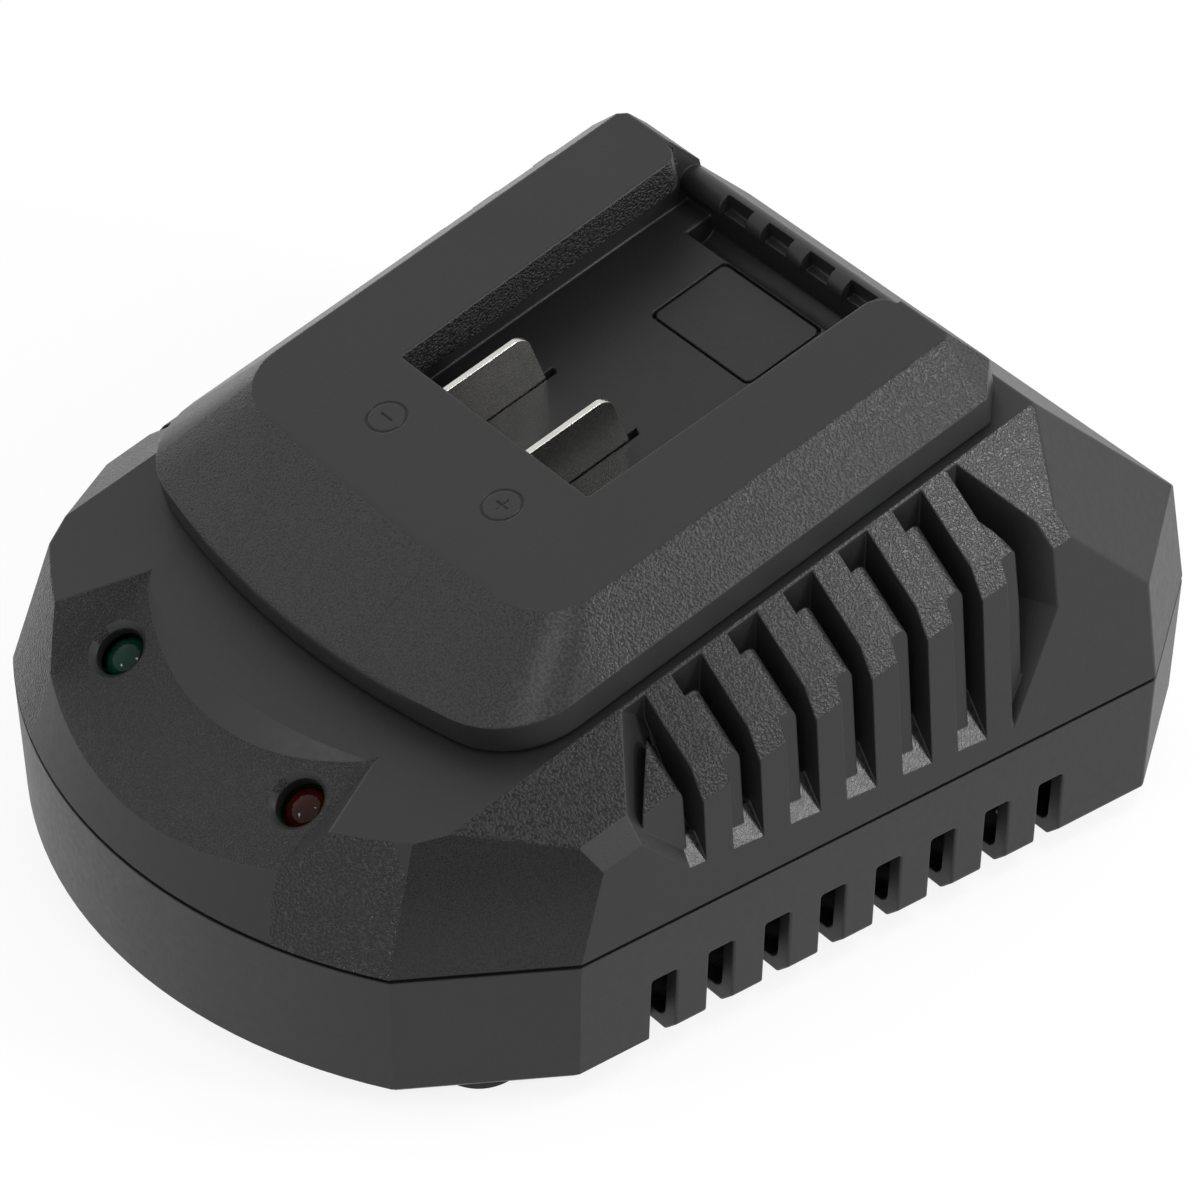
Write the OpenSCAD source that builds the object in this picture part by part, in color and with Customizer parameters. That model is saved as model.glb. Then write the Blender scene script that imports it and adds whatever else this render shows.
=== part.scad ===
// Power tool battery charger: a two part housing with a tilted battery dock on
// top, a sloping indicator panel in front and a moulded rib grille on each side.
// Units are millimetres, +Z is up, +Y is the rear, the feet stand on Z = 0.

/* [Housing] */
// Length of the housing, front to rear
body_length = 141; // [134:1:150]
// Half width where the corner chamfer ends
side_half_width = 52.4; // [50:0.2:56]
// Front end of the flat sides, behind the middle
side_start_y = -38.85; // [-42:0.05:-36]
// Height of the line where the two shells meet
parting_height = 22.6; // [19:0.2:26]
// Plan radius of the bowed front
front_radius = 72.6; // [68:0.2:90]
// Wall thickness of both shells
wall = 2.2; // [1.8:0.1:2.6]
// Shadow line between the two shells
parting_gap = 0.45; // [0.3:0.05:0.8]
// Outward flare of the sides towards the rear
side_flare = 2.22; // [1.5:0.01:3]
// Inward lean of the upper side walls
side_lean = 5.94; // [4:0.01:8]
// Lean of the bowed front wall
front_lean = 18.26; // [14:0.01:22]
// Plan direction of the front corner facet
corner_heading = -32.3; // [-36:0.1:-28]
// Lean of the front corner facet
corner_lean = 15.14; // [12:0.01:18]
// Half width where the bowed front meets the corner facet
corner_half_width = 39.9; // [38:0.1:42]
// Fall of the shoulder for each millimetre outwards
shoulder_fall = 0.66; // [0.55:0.01:0.8]
// Width of the chamfer along the top edge of the side walls
edge_chamfer = 1; // [0.6:0.1:1.6]
// Plan direction of the rear corner facet
rear_heading = 37.5; // [34:0.1:42]
// Lean of the rear corner facet
rear_lean = 6.84; // [4:0.01:9]
// Length of the flat side before the rear corner facet
side_length = 92.1; // [88:0.1:96]
// Plan direction of the facet above the rear corner
rear_top_heading = 34.4; // [30:0.1:38]
// Lean of the facet above the rear corner
rear_top_lean = 34.1; // [30:0.1:38]
// Slope of the back above the rear wall
back_slope = 45.5; // [40:0.1:50]
// Lean of the rear wall
rear_wall_lean = 8.95; // [6:0.01:12]
// Distance from the rear edge of the deck to the rear of the housing
deck_rear_inset = 26.2; // [25:0.1:28]

/* [Lower shell] */
// Draft of the lower shell walls
lower_draft = 2.16; // [1:0.01:4]
// Width of the chamfer round the bottom edge
bottom_chamfer = 2; // [1:0.1:3]
// Height of the rubber feet below the shell
foot_height = 2; // [1:0.1:3]
// Radius of the rubber feet
foot_radius = 6; // [4:0.1:7]
// Depth of the pockets that hold the feet
foot_pocket = 0.8; // [0.5:0.1:1.2]
// Across spacing of the feet
foot_spacing_x = 77; // [70:0.5:80]
// Distance of the front feet ahead of the middle
foot_front = 44; // [40:0.5:47]
// Distance of the rear feet behind the middle
foot_rear = 50; // [44:0.5:54]
// Height of the tongue that locates the upper shell
tongue_height = 2; // [1:0.1:3]
// Clearance round the tongue
tongue_clearance = 0.15; // [0.1:0.05:0.3]
// Number of vent slots on each side
vent_count = 8; // [4:1:8]
// Distance from one vent slot to the next
vent_pitch = 8.887; // [8.2:0.001:9]
// Width of a vent slot
vent_width = 3.9; // [3:0.1:5]
// Reach of the vent slots inwards from the side
vent_reach = 5.5; // [4:0.1:5.8]
// Height of the top of the vent slots
vent_top = 13.7; // [10:0.1:17]
// Front edge of the first vent slot behind the middle
vent_start = -27.6; // [-30:0.1:-25]

/* [Dock] */
// Tilt of the battery dock, rising to the rear
dock_tilt = 12.5; // [8:0.1:14]
// Front end of the battery slot, behind the middle
dock_front = -10.5; // [-13:0.1:-8]
// Height of the dock top at the front end of the slot
dock_height = 60.8; // [58:0.1:63]
// Height of the dock above the deck
dock_rise = 10.93; // [10:0.01:13]
// Depth of the crest below the dock top
crest_depth = 6.15; // [5:0.05:8]
// Half width of the dock top
dock_top_half = 32.3; // [30:0.1:33]
// Half width of the dock at its crest
dock_half = 39; // [38:0.1:39.4]
// Length of the dock top ahead of the slot
dock_top_front = 19.2; // [17:0.1:21]
// Length of the dock ahead of the slot at its crest
dock_nose = 35.4; // [33:0.1:37]
// Length of the dock behind the front end of the slot
dock_rear = 52.4; // [51:0.1:53]
// Length of the dock top behind the front end of the slot
dock_top_rear = 48.4; // [46:0.1:49]
// Bow radius of the front of the dock top
top_bow = 360; // [250:10:500]
// Bow radius of the dock nose
nose_bow = 138; // [110:1:180]
// Corner radius of the dock nose
nose_corner = 12; // [9:0.5:14]
// Corner radius of the dock top
top_corner = 8.5; // [6:0.5:10]
// Chamfer at the rear corners of the dock top
top_rear_chamfer = 1; // [0.5:0.1:3]
// Chamfer at the rear corners of the dock
dock_rear_chamfer = 5; // [3:0.1:6]
// Gap round the part of the dock that drops into the deck
dock_clearance = 0.25; // [0.15:0.05:0.5]
// Wall thickness of the dock
dock_wall = 2.2; // [1.8:0.1:2.6]
// Height of the shadow groove round the foot of the dock
dock_groove = 0.6; // [0.3:0.1:1]

/* [Battery channel] */
// Half width of the slot at its front end
slot_half = 18.75; // [17:0.05:20]
// Half width of the slot near the rear
slot_half_rear = 19.6; // [19.6:0.05:20.5]
// Half width of the lead in at the rear end
lead_in_half = 22.7; // [21:0.1:23.4]
// Length of the parallel part of the slot
slot_length = 44.8; // [42:0.1:46]
// Thickness of the rail lips
lip_thickness = 5.17; // [4:0.01:6]
// Depth of the undercut beside the slot
undercut = 4.4; // [4.1:0.1:4.8]
// Thickness of the channel floor
channel_floor = 2; // [1.6:0.1:2.6]
// Front edge of the latch groove
groove_front = 44.9; // [44:0.1:46]
// Width of the latch groove, front to rear
groove_width = 4.4; // [3.6:0.1:4.6]
// Half length of the latch groove
groove_half = 17.9; // [15:0.1:18.5]
// Depth of the latch groove
groove_depth = 3.4; // [2:0.1:4]
// Height of the rear ridge above the channel floor
ridge_height = 4.7; // [3:0.1:6]
// Width of the windows in the rear ridge
window_width = 5.1; // [4:0.1:6]
// Distance from one window to the next
window_pitch = 8.12; // [7:0.01:9]
// Half width of the blank insert in the channel floor
insert_half = 9.5; // [8:0.1:11]
// Front edge of the blank insert
insert_front = 32.1; // [30:0.1:34]
// Length of the blank insert
insert_length = 12.3; // [10:0.1:12.4]
// Thickness of the blank insert
insert_thickness = 1.2; // [0.8:0.1:1.4]
// Groove round the blank insert
insert_gap = 0.4; // [0.2:0.05:0.6]

/* [Terminals] */
// Thickness of the terminal blades
blade_thickness = 0.9; // [0.7:0.05:1.2]
// Length of a blade along its top edge
blade_length = 13.4; // [11:0.1:15]
// Distance of the blade tops below the dock top
blade_top_drop = 2; // [1.5:0.1:4]
// Place of the negative blade across the dock
negative_x = -11.6; // [-14:0.1:-9]
// Place of the positive blade across the dock
positive_x = 5.2; // [3:0.1:8]
// Clearance round each blade where it passes the floor
blade_clearance = 0.15; // [0.1:0.05:0.3]
// Depth of the terminal block under the floor
block_depth = 7; // [5:0.5:9]
// Radius of the polarity rings on the dock top
ring_radius = 2.6; // [2:0.1:3.2]
// Place of the polarity rings across the dock
ring_x = 11.67; // [10:0.01:13]
// Distance of the polarity rings ahead of the slot
ring_y = 8.1; // [7:0.1:9]
// Depth of the polarity marks
mark_depth = 0.2; // [0.1:0.05:0.5]
// Line width of the polarity marks
mark_line = 0.35; // [0.3:0.05:0.7]
// Length of the strokes of the polarity signs
mark_stroke = 2.2; // [1.6:0.1:3]

/* [Indicator panel] */
// Slope of the indicator panel
panel_slope = 31; // [27:0.5:34]
// Half width of the indicator panel at its rear corners
panel_half = 23.7; // [23:0.1:25]
// Depth of the indicator panel from the front of the housing
panel_length = 22.6; // [22:0.1:23.4]
// Depth of the bow of its rear edge
panel_bow_depth = 3.8; // [2.5:0.1:5]
// Slope of the step between the deck and the panel
panel_step_slope = 50; // [40:1:70]
// Plan direction of the slopes beside the panel
panel_side_heading = 35; // [30:0.5:40]
// Lean of the slopes beside the panel
panel_side_lean = 42.8; // [38:0.1:48]
// Sideways place of each lamp
lamp_x = 18.84; // [16:0.01:20]
// Distance of the lamps behind the front of the housing
lamp_inset = 14.3; // [12.5:0.1:16]
// Radius of the lamp lenses
lamp_radius = 3.1; // [2:0.1:3.2]
// Height of the dome of each lens
lamp_dome = 1.6; // [1:0.1:2]
// Depth of the lens tops below the panel
lamp_sink = 1.1; // [0.2:0.1:1.2]
// Clearance round each lamp lens
lamp_clearance = 0.2; // [0.1:0.05:0.4]
// Flare of the lamp holes at the surface
lamp_flare = 0.8; // [0.3:0.1:0.9]
// Gap between the panel and the lamp board
lamp_board_gap = 3; // [2.5:0.1:4]
// Depth of the lamp board, front to rear
lamp_board_depth = 10; // [8:0.5:12]
// Distance of the lamp board posts inside the lamps
lamp_post_inset = 8; // [6:0.5:10]

/* [Side grille] */
// Number of fins on each side
fin_count = 6; // [4:1:6]
// Distance from one fin to the next
fin_pitch = 8.876; // [8.6:0.001:9]
// Thickness of a fin
fin_width = 4.2; // [3.4:0.1:4.6]
// Front face of the first fin
fin_start = -19.07; // [-20:0.01:-18]
// Width of the step beside each fin
step_width = 2.7; // [2:0.1:3]
// Radius of the rear edge of the steps
step_radius = 1.5; // [0.5:0.1:2]
// Set back of the steps behind the side wall
step_set_back = 1.3; // [0.8:0.1:2]
// Width of the strip left bare beside the front step
front_strip = 3.2; // [2:0.1:4]
// Gap between the last step and the rear end of the recess
rear_gap = 3.9; // [3:0.1:5]
// Plan direction of the front end of the recess
recess_front_heading = 29.7; // [26:0.1:34]
// Lean of the front end of the recess
recess_front_lean = 31.9; // [28:0.1:36]
// Plan direction of the rear end of the recess
recess_rear_heading = -64.5; // [-68:0.1:-60]
// Lean of the lower part of the rear end of the recess
recess_rear_lean = 26.5; // [22:0.1:30]
// Drop of the steps below the fin tops
step_drop = 0.25; // [0.1:0.05:1]
// Inner wall of the grille recess
recess_inner = 40.3; // [40:0.1:41]
// Distance from the recess wall to the steps
notch = 2.4; // [1.5:0.1:4]
// Height of the recess sill at the side wall
sill_height = 28.6; // [28:0.1:31]
// Height of the recess floor behind the sill
recess_floor = 32.2; // [31:0.1:34]
// Width of the air slits in the recess wall
slit_width = 1.1; // [0.8:0.1:1.5]
// Height of the air slits
slit_height = 9; // [5:0.5:10]

/* [Inside] */
// Height of the main board on its posts
board_height = 10; // [8:0.5:12]
// Thickness of the circuit boards
board_thickness = 1.6; // [1:0.1:2]
// Half width of the main board
board_half = 36; // [34:0.5:37]
// Distance of the main board behind the front of the housing
board_front_gap = 20.5; // [18:0.5:22]
// Distance of the main board ahead of the rear of the housing
board_rear_gap = 15.5; // [15.5:0.5:18]
// Distance of the board screws inside the side edges of the board
board_screw_inset = 5; // [4.5:0.5:6]
// Distance of the board screws inside the ends of the board
board_screw_end = 6; // [5:0.5:8]
// Width of the transformer core
core_width = 30; // [24:1:32]
// Height of the transformer core
core_height = 22; // [16:1:24]
// Place of the transformer from the left edge of the board
core_left = 28; // [24:0.5:30]
// Place of the transformer from the rear edge of the board
core_rear = 43; // [40:0.5:46]
// Radius of the mains capacitor can
can_radius = 8; // [6:0.5:9]
// Height of the mains capacitor can
can_height = 24; // [18:1:26]
// Place of the mains capacitor from the right edge of the board
can_right = 18; // [17:0.5:20]
// Place of the mains capacitor from the rear edge of the board
can_rear = 21; // [18:0.5:22]
// Radius of the output capacitor can
small_can_radius = 5; // [3:0.5:6]
// Height of the output capacitor can
small_can_height = 18; // [12:1:20]
// Place of the output capacitor from the left edge of the board
small_can_left = 14; // [10:0.5:16]
// Place of the output capacitor from the front edge of the board
small_can_front = 36; // [35:0.5:40]
// Width of the heat sink
sink_width = 24; // [18:0.5:26]
// Height of the heat sink
sink_height = 20; // [14:1:24]
// Depth of the ribs of the heat sink
sink_depth = 8; // [5:0.5:9]
// Thickness of the heat sink plate
sink_plate = 3; // [2:0.1:3.5]
// Place of the heat sink from the right edge of the board
sink_right = 32; // [31:0.5:34]
// Place of the heat sink from the front edge of the board
sink_front = 30; // [28:0.5:34]
// Width of the power transistor
transistor_width = 10; // [8:0.5:11]
// Thickness of the power transistor
transistor_depth = 4.4; // [3.6:0.1:5]
// Height of its legs above the board
leg_height = 4; // [2:0.5:5]
// Width of the bridge rectifier
rectifier_width = 20; // [16:0.5:22]
// Height of the bridge rectifier block
rectifier_height = 14; // [10:0.5:16]
// Thickness of the bridge rectifier
rectifier_depth = 4; // [3:0.1:5]
// Place of the bridge rectifier from the left edge of the board
rectifier_left = 22; // [20:0.5:24]
// Place of the bridge rectifier from the rear edge of the board
rectifier_rear = 19; // [16:0.5:20]
// Length of the fuse
fuse_length = 20; // [15:0.5:22]
// Radius of the fuse caps
fuse_radius = 2.6; // [2:0.1:3]
// Place of the fuse from the right edge of the board
fuse_right = 10; // [9:0.5:12]
// Place of the fuse from the front edge of the board
fuse_front = 42; // [40:0.5:46]
// Ring radius of the choke coil
choke_ring = 6.4; // [5:0.1:7]
// Winding radius of the choke coil
choke_winding = 4; // [3:0.1:4.4]
// Place of the choke coil from the left edge of the board
choke_left = 16; // [14:0.5:17]
// Place of the choke coil from the front edge of the board
choke_front = 18; // [17:0.5:20]
// Width of the mains inlet
inlet_width = 20; // [18:0.5:24]
// Height of the mains inlet
inlet_height = 12; // [10:0.5:13]
// Length of the mains inlet body
inlet_depth = 14; // [12:0.5:14]
// Clearance round the mains inlet in its opening
inlet_clearance = 0.2; // [0.1:0.05:0.4]
// Distance of the inlet face behind the rear of the housing
inlet_set_back = 1.2; // [0.8:0.1:2]
// Half spacing of the inlet pins
pin_half_spacing = 3.6; // [3:0.1:4]
// Radius of the inlet pins
pin_radius = 1.15; // [1:0.05:1.3]
// Length of the inlet pins
pin_length = 10; // [8:0.5:10]
// Radius of the rounded ends of the inlet recess
inlet_round = 3.9; // [3.4:0.1:4.2]

/* [Screws] */
// Radius of the screw shanks
screw_radius = 1.5; // [1.2:0.1:1.8]
// Radius of the screw heads
head_radius = 2.8; // [2.4:0.1:3.2]
// Height of the screw heads
head_height = 1.8; // [1.2:0.1:2.2]
// Depth of the housing screw heads below the rim
head_sink = 8; // [6:0.5:10]
// Length of the housing screws above the rim
screw_bite = 5; // [4:0.5:5]
// Distance of the housing screws inside the sides
house_screw_inset = 9.9; // [9.8:0.1:10.4]
// Place of the front housing screws, behind the middle
house_screw_front = -29.6; // [-31:0.1:-29]
// Place of the rear housing screws, behind the middle
house_screw_rear = 33.5; // [32:0.1:35]
// Place of the dock screws across the dock
dock_screw_x = 31; // [29.5:0.1:32]
// Places of the dock screws along the dock
dock_screw_y = [-6, 38];
// Radius of the screw posts
post_radius = 3.6; // [3.2:0.1:4]
// Clearance of the screw holes
screw_clearance = 0.15; // [0.1:0.05:0.3]

/* [Colours] */
// Colour of the housing
housing_colour = "#3c3e3d";
// Colour of the dark smooth parts
dark_colour = "#323336";
// Colour of the blades
blade_colour = "#c4c2bc";

/* [Hidden] */
front_y = -body_length / 2;
rear_y = body_length / 2;
front_centre_y = front_y + front_radius;
reach = 200;
eps = 0.01;
fine = 96;
corner_y = front_centre_y - sqrt(pow(front_radius, 2) - pow(corner_half_width, 2));
rear_corner_y = side_start_y + side_length;
rear_corner_x = side_half_width + side_length * tan(side_flare);
deck_height = dock_height - dock_rise / cos(dock_tilt);
deck_slope = tan(dock_tilt);
deck_rear_y = rear_y - deck_rear_inset;
deck_rear_z = deck_height + (deck_rear_y - dock_front) * deck_slope;
shoulder_heading = atan2(-deck_slope, shoulder_fall);
shoulder_rise = atan2(1, norm([deck_slope, shoulder_fall]));
shoulder_x = recess_inner - 0.3;
floor_top = foot_height + wall;
panel_rear = front_y + panel_length;
panel_bow = (pow(panel_half, 2) + pow(panel_bow_depth, 2)) / (2 * panel_bow_depth);
panel_z = deck_height + (panel_rear - dock_front) * deck_slope;
lamp_y = front_y + lamp_inset;
lamp_z = panel_z + (lamp_y - panel_rear) * tan(panel_slope);
lamp_post_x = lamp_x - lamp_post_inset;
lamp_post_y = 1.8 - lamp_board_depth / 2;
channel_half = lead_in_half + 0.1;
block_half = channel_half + dock_wall;
trough_rear = groove_front + groove_width + channel_floor;
trough_bottom = -dock_rise - groove_depth - channel_floor / 2;
recess_front_y = fin_start - 3.33;
recess_rear_y = fin_start + (fin_count - 1) * fin_pitch + 5.49;
recess_length = recess_rear_y - recess_front_y;
board_top = board_height + board_thickness;
board_front = front_y + board_front_gap;
board_rear = rear_y - board_rear_gap;
board_length = board_rear - board_front;
board_screw_x = board_half - board_screw_inset;
board_screw_y = [board_front + board_screw_end, board_rear - board_screw_end];
house_screw_x = side_half_width - house_screw_inset;
house_screw_y = [house_screw_front, house_screw_rear];
house_head_z = parting_height - head_sink;
inlet_back_y = rear_y - inlet_set_back;
inlet_z = floor_top + 1;
insert_corner = 1;
screw_length = 8;

// Unit normals of the side wall and the shoulder, and of the chamfer between them.
side_normal = plane_normal(-side_flare, side_lean);
shoulder_normal = plane_normal(shoulder_heading, shoulder_rise);
edge_normal = side_normal + shoulder_normal;
edge_heading = atan2(edge_normal.y, edge_normal.x);
edge_rise = atan2(edge_normal.z, norm([edge_normal.x, edge_normal.y]));
edge_depth = edge_chamfer / 2 / tan(acos(side_normal * shoulder_normal) / 2);
edge_point = crease_point();

// Repeats its children on the other side.
module both_sides() {
  children();
  mirror([1, 0, 0]) children();
}

function plane_normal(heading, rise) =
  [cos(rise) * cos(heading), cos(rise) * sin(heading), sin(rise)];

// Point where the side wall and the shoulder would meet beside the front of the slot.
function crease_point() =
  let (a = side_normal * [side_half_width, side_start_y - dock_front, parting_height],
       b = shoulder_normal * [shoulder_x, 0, deck_height],
       d = side_normal.x * shoulder_normal.z - side_normal.z * shoulder_normal.x)
    [(a * shoulder_normal.z - b * side_normal.z) / d, dock_front,
     (b * side_normal.x - a * shoulder_normal.x) / d];

// Half space beyond a plane: heading turns its normal in plan, rise lifts it.
module beyond(point, heading, rise, inset = 0) {
  translate(point)
    rotate([0, -rise, heading])
      translate([-inset, -reach / 2, -reach / 2])
        cube([reach / 2, reach, reach]);
}

// Frame of the dock: origin at the front end of the slot on the dock top.
module in_dock() {
  translate([0, dock_front, dock_height]) rotate([dock_tilt, 0, 0]) children();
}

// Frame of the indicator panel: origin midway between the lamps.
module in_panel() {
  translate([0, lamp_y, lamp_z]) rotate([panel_slope, 0, 0]) children();
}

// Points of an arc, for outlines.
function arc(cx, cy, r, a0, a1, n) =
  [for (i = [0:n]) [cx + r * cos(a0 + (a1 - a0) * i / n), cy + r * sin(a0 + (a1 - a0) * i / n)]];

// Plan outline shared by both shells at the parting line, as facets in a block.
module facet_cuts(inset, lean_side, lean_corner, lean_rear) {
  both_sides() {
    beyond([side_half_width, side_start_y, parting_height], -side_flare, lean_side, inset);
    beyond([corner_half_width, corner_y, parting_height], corner_heading, lean_corner, inset);
    beyond([rear_corner_x, rear_corner_y, parting_height], rear_heading, lean_rear, inset);
  }
}

// Solid form of the upper shell, drawn in by the inset on every face.
module upper_form(inset = 0, drop = 0) {
  front_base = front_radius - inset / cos(front_lean);
  top = dock_height;
  difference() {
    translate([-reach / 2, -reach / 2, parting_height - drop])
      cube([reach, reach, top + drop]);
    facet_cuts(inset, side_lean, corner_lean, rear_lean);
    both_sides() {
      beyond([shoulder_x, dock_front, deck_height], shoulder_heading, shoulder_rise, inset);
      beyond([shoulder_x, deck_rear_y, deck_rear_z], rear_top_heading, rear_top_lean, inset);
      beyond(edge_point, edge_heading, edge_rise, inset + edge_depth);
    }
    beyond([0, dock_front, deck_height], -90, 90 - dock_tilt, inset);
    beyond([0, deck_rear_y, deck_rear_z], 90, back_slope, inset);
    beyond([0, rear_y, parting_height], 90, rear_wall_lean, inset);
    front_wall_outside(front_base, drop);
    panel_cut(inset);
  }
}

// Everything ahead of the bowed, leaning front wall.
module front_wall_outside(base_radius, drop) {
  rise = deck_height;
  grow = (drop + 1) * tan(front_lean);
  difference() {
    translate([-reach / 2, -reach / 2 - 1, parting_height - drop - 1])
      cube([reach, reach / 2 + 1 + front_centre_y, rise + drop + 1]);
    translate([0, front_centre_y, parting_height - drop - 1])
      cylinder(h = rise + drop + 2, r1 = base_radius + grow,
               r2 = base_radius - (rise + 1) * tan(front_lean), $fn = fine * 2);
  }
}

// Material cleared above the sloping indicator panel, between its side slopes.
module panel_cut(inset) {
  run = 20;
  difference() {
    translate([-reach / 2, front_y - 20, 0]) cube([reach, front_radius, reach]);
    translate([0, panel_rear, panel_z]) rotate([panel_slope, 0, 0])
      translate([-reach / 2, -reach / 2, -reach - inset]) cube([reach, reach, reach]);
    translate([0, panel_rear - panel_bow_depth + panel_bow, panel_z - run])
      cylinder(h = 2 * run, r1 = panel_bow - inset + run / tan(panel_step_slope),
               r2 = panel_bow - inset - run / tan(panel_step_slope), $fn = fine * 2);
    both_sides()
      beyond([panel_half, panel_rear, panel_z], panel_side_heading, -panel_side_lean, -inset);
  }
}

// Recess that holds the grille of one side, grown by the margin.
module recess_form(margin = 0) {
  difference() {
    translate([recess_inner - margin, recess_front_y - 12, sill_height - 4 - margin])
      cube([30, recess_length + 27, 60]);
    translate([recess_inner - 0.4, recess_front_y, deck_height - 2.6])
      rotate([0, -recess_front_lean, recess_front_heading])
        translate([-60 - margin, -60, -60]) cube([60, 120, 120]);
    translate([recess_inner - 0.6, recess_rear_y, deck_height]) rotate([0, 0, recess_rear_heading])
      translate([-40 - margin, -60, -60]) cube([40, 120, 120]);
    translate([recess_inner + 13.3, recess_rear_y + 5.9, deck_height - 10.2])
      rotate([0, -recess_rear_lean, recess_rear_heading])
        translate([-40 - margin, -60, -60]) cube([40, 120, 120]);
    sill_form(margin);
  }
}

// Sloping sill and flat floor under the grille.
module sill_form(margin) {
  sill_x = side_half_width + 0.3;
  sill_inner_x = sill_x - (recess_floor - sill_height) * 0.75;
  slope = atan2(recess_floor - sill_height, sill_x - sill_inner_x);
  intersection() {
    translate([sill_x, 0, sill_height]) rotate([0, slope, 0])
      translate([-60, -60, -60 - margin]) cube([120, 120, 60]);
    translate([0, -60, 0]) cube([80, 120, recess_floor - margin]);
  }
}

// Fins and the steps beside them, before they are trimmed to the housing.
module grille_fins() {
  for (i = [0:fin_count - 1]) {
    translate([recess_inner - eps, fin_start + i * fin_pitch, sill_height - 4])
      cube([30, fin_width, 60]);
  }
}

// Steps along the fall of the shoulder, with a rounded rear edge.
module grille_steps() {
  fall = atan(shoulder_fall);
  pitch_line = deck_slope * cos(fall);
  tilt = atan(pitch_line);
  for (i = [-1:fin_count - 1]) {
    y = fin_start + fin_width + i * fin_pitch - eps - dock_front;
    y0 = i < 0 ? y - fin_pitch : y;
    y1 = y + step_width;
    yc = y1 - step_radius;
    zc = yc * pitch_line - (step_drop + step_radius) / cos(tilt);
    translate([shoulder_x, dock_front, deck_height]) rotate([0, fall, 0])
      translate([-20, 0, 0]) rotate([90, 0, 90])
        linear_extrude(60)
          polygon(concat([[y0, y0 * pitch_line - step_drop / cos(tilt)], [y0, -60], [y1, -60]],
                         arc(yc, zc, step_radius, 0, 90 + tilt, 8)));
  }
}

// Narrow air slits through the inner wall of the recess.
module air_slits() {
  for (i = [0:fin_count - 1]) {
    translate([recess_inner - 2 * wall, fin_start + fin_pitch * i - 1.5, recess_floor + 0.8])
      cube([3 * wall, slit_width, slit_height]);
  }
}

// One side grille: recess, fins and steps, trimmed to the outer form.
module side_grille() {
  intersection() {
    upper_form();
    recess_form(wall);
    difference() {
      translate([recess_inner - wall, recess_front_y - 18, sill_height - 8])
        cube([30, recess_length + 37, 60]);
      difference() {
        recess_form();
        grille_fins();
        intersection() {
          grille_steps();
          step_end();
        }
      }
      air_slits();
    }
  }
}

// Limits of the steps: behind the side wall, and clear of both ends of the recess.
module step_end() {
  difference() {
    translate([recess_inner + notch, -60, 0]) cube([80, 120, 80]);
    beyond([side_half_width, side_start_y, parting_height], -side_flare, side_lean, step_set_back);
    translate([recess_inner - 0.4, recess_front_y, 0]) rotate([0, 0, strip_heading()])
      translate([front_strip - 40, -30, 0]) cube([40, 60, 80]);
    translate([recess_inner - 0.6, recess_rear_y, 0]) rotate([0, 0, recess_rear_heading])
      translate([rear_gap - 40, -30, 0]) cube([40, 60, 80]);
  }
}

function strip_heading() = recess_front_heading + 17.9;

// Bosses of the upper shell that take the housing screws.
module upper_posts() {
  both_sides() for (y = house_screw_y)
    translate([house_screw_x, y, parting_height]) cylinder(h = 30, r = post_radius, $fn = 48);
}

module upper_shell() {
  color(housing_colour) difference() {
    union() {
      difference() {
        upper_form();
        upper_form(wall, 5);
        both_sides() recess_form();
      }
      both_sides() side_grille();
      intersection() {
        upper_form();
        union() {
          upper_posts();
          panel_posts();
        }
        difference() {
          upper_form();
          both_sides() recess_form(wall - eps);
        }
      }
    }
    dock_opening();
    lamp_holes();
    dock_screw_holes();
    both_sides() for (y = house_screw_y)
      translate([house_screw_x, y, parting_height - 1])
        cylinder(h = screw_length, r = screw_radius, $fn = 32);
  }
}

// Opening in the deck for the channel floor of the dock.
module dock_opening() {
  in_dock() {
    translate([-block_half - dock_clearance, -dock_wall - dock_clearance, -dock_rise - 3 * wall])
      cube([2 * (block_half + dock_clearance), trough_rear + dock_wall + 2 * dock_clearance,
            3 * wall + eps]);
  }
}

module lamp_holes() {
  in_panel() for (x = [-lamp_x, lamp_x]) translate([x, 0, 0]) {
    translate([0, 0, -2 * wall])
      cylinder(h = 4 * wall, r = lamp_radius + lamp_clearance, $fn = 48);
    translate([0, 0, -lamp_flare])
      cylinder(h = 2 * lamp_flare, r1 = lamp_radius + lamp_clearance,
               r2 = lamp_radius + lamp_clearance + 2 * lamp_flare, $fn = 48);
  }
}

// Posts under the panel that carry the lamp board.
module panel_posts() {
  in_panel() for (x = [-lamp_post_x, lamp_post_x])
    translate([x, lamp_post_y, -wall - lamp_board_gap + eps])
      cylinder(h = lamp_board_gap + wall / 2, r = 2, $fn = 32);
}

module dock_screw_holes() {
  in_dock() both_sides() for (y = dock_screw_y)
    translate([dock_screw_x, y, -dock_rise - 3 * wall])
      cylinder(h = 6 * wall, r = screw_radius + screw_clearance, $fn = 32);
}

// Solid form of the lower shell, drawn in by the inset.
module lower_form(inset = 0) {
  bottom = foot_height;
  difference() {
    translate([-reach / 2, -reach / 2, bottom + inset])
      cube([reach, reach, parting_height - bottom - inset]);
    facet_cuts(inset, -lower_draft, -lower_draft, -lower_draft);
    beyond([0, rear_y, parting_height], 90, -lower_draft, inset);
    lower_front_outside(inset);
    bottom_chamfer_cuts(inset);
  }
}

module lower_front_outside(inset) {
  h = parting_height;
  difference() {
    translate([-reach / 2, -reach / 2 - 1, 0]) cube([reach, reach / 2 + 1 + front_centre_y, h]);
    translate([0, front_centre_y, 0])
      cylinder(h = h, r1 = front_radius - inset - h * tan(lower_draft),
               r2 = front_radius - inset, $fn = fine * 2);
  }
}

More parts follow.
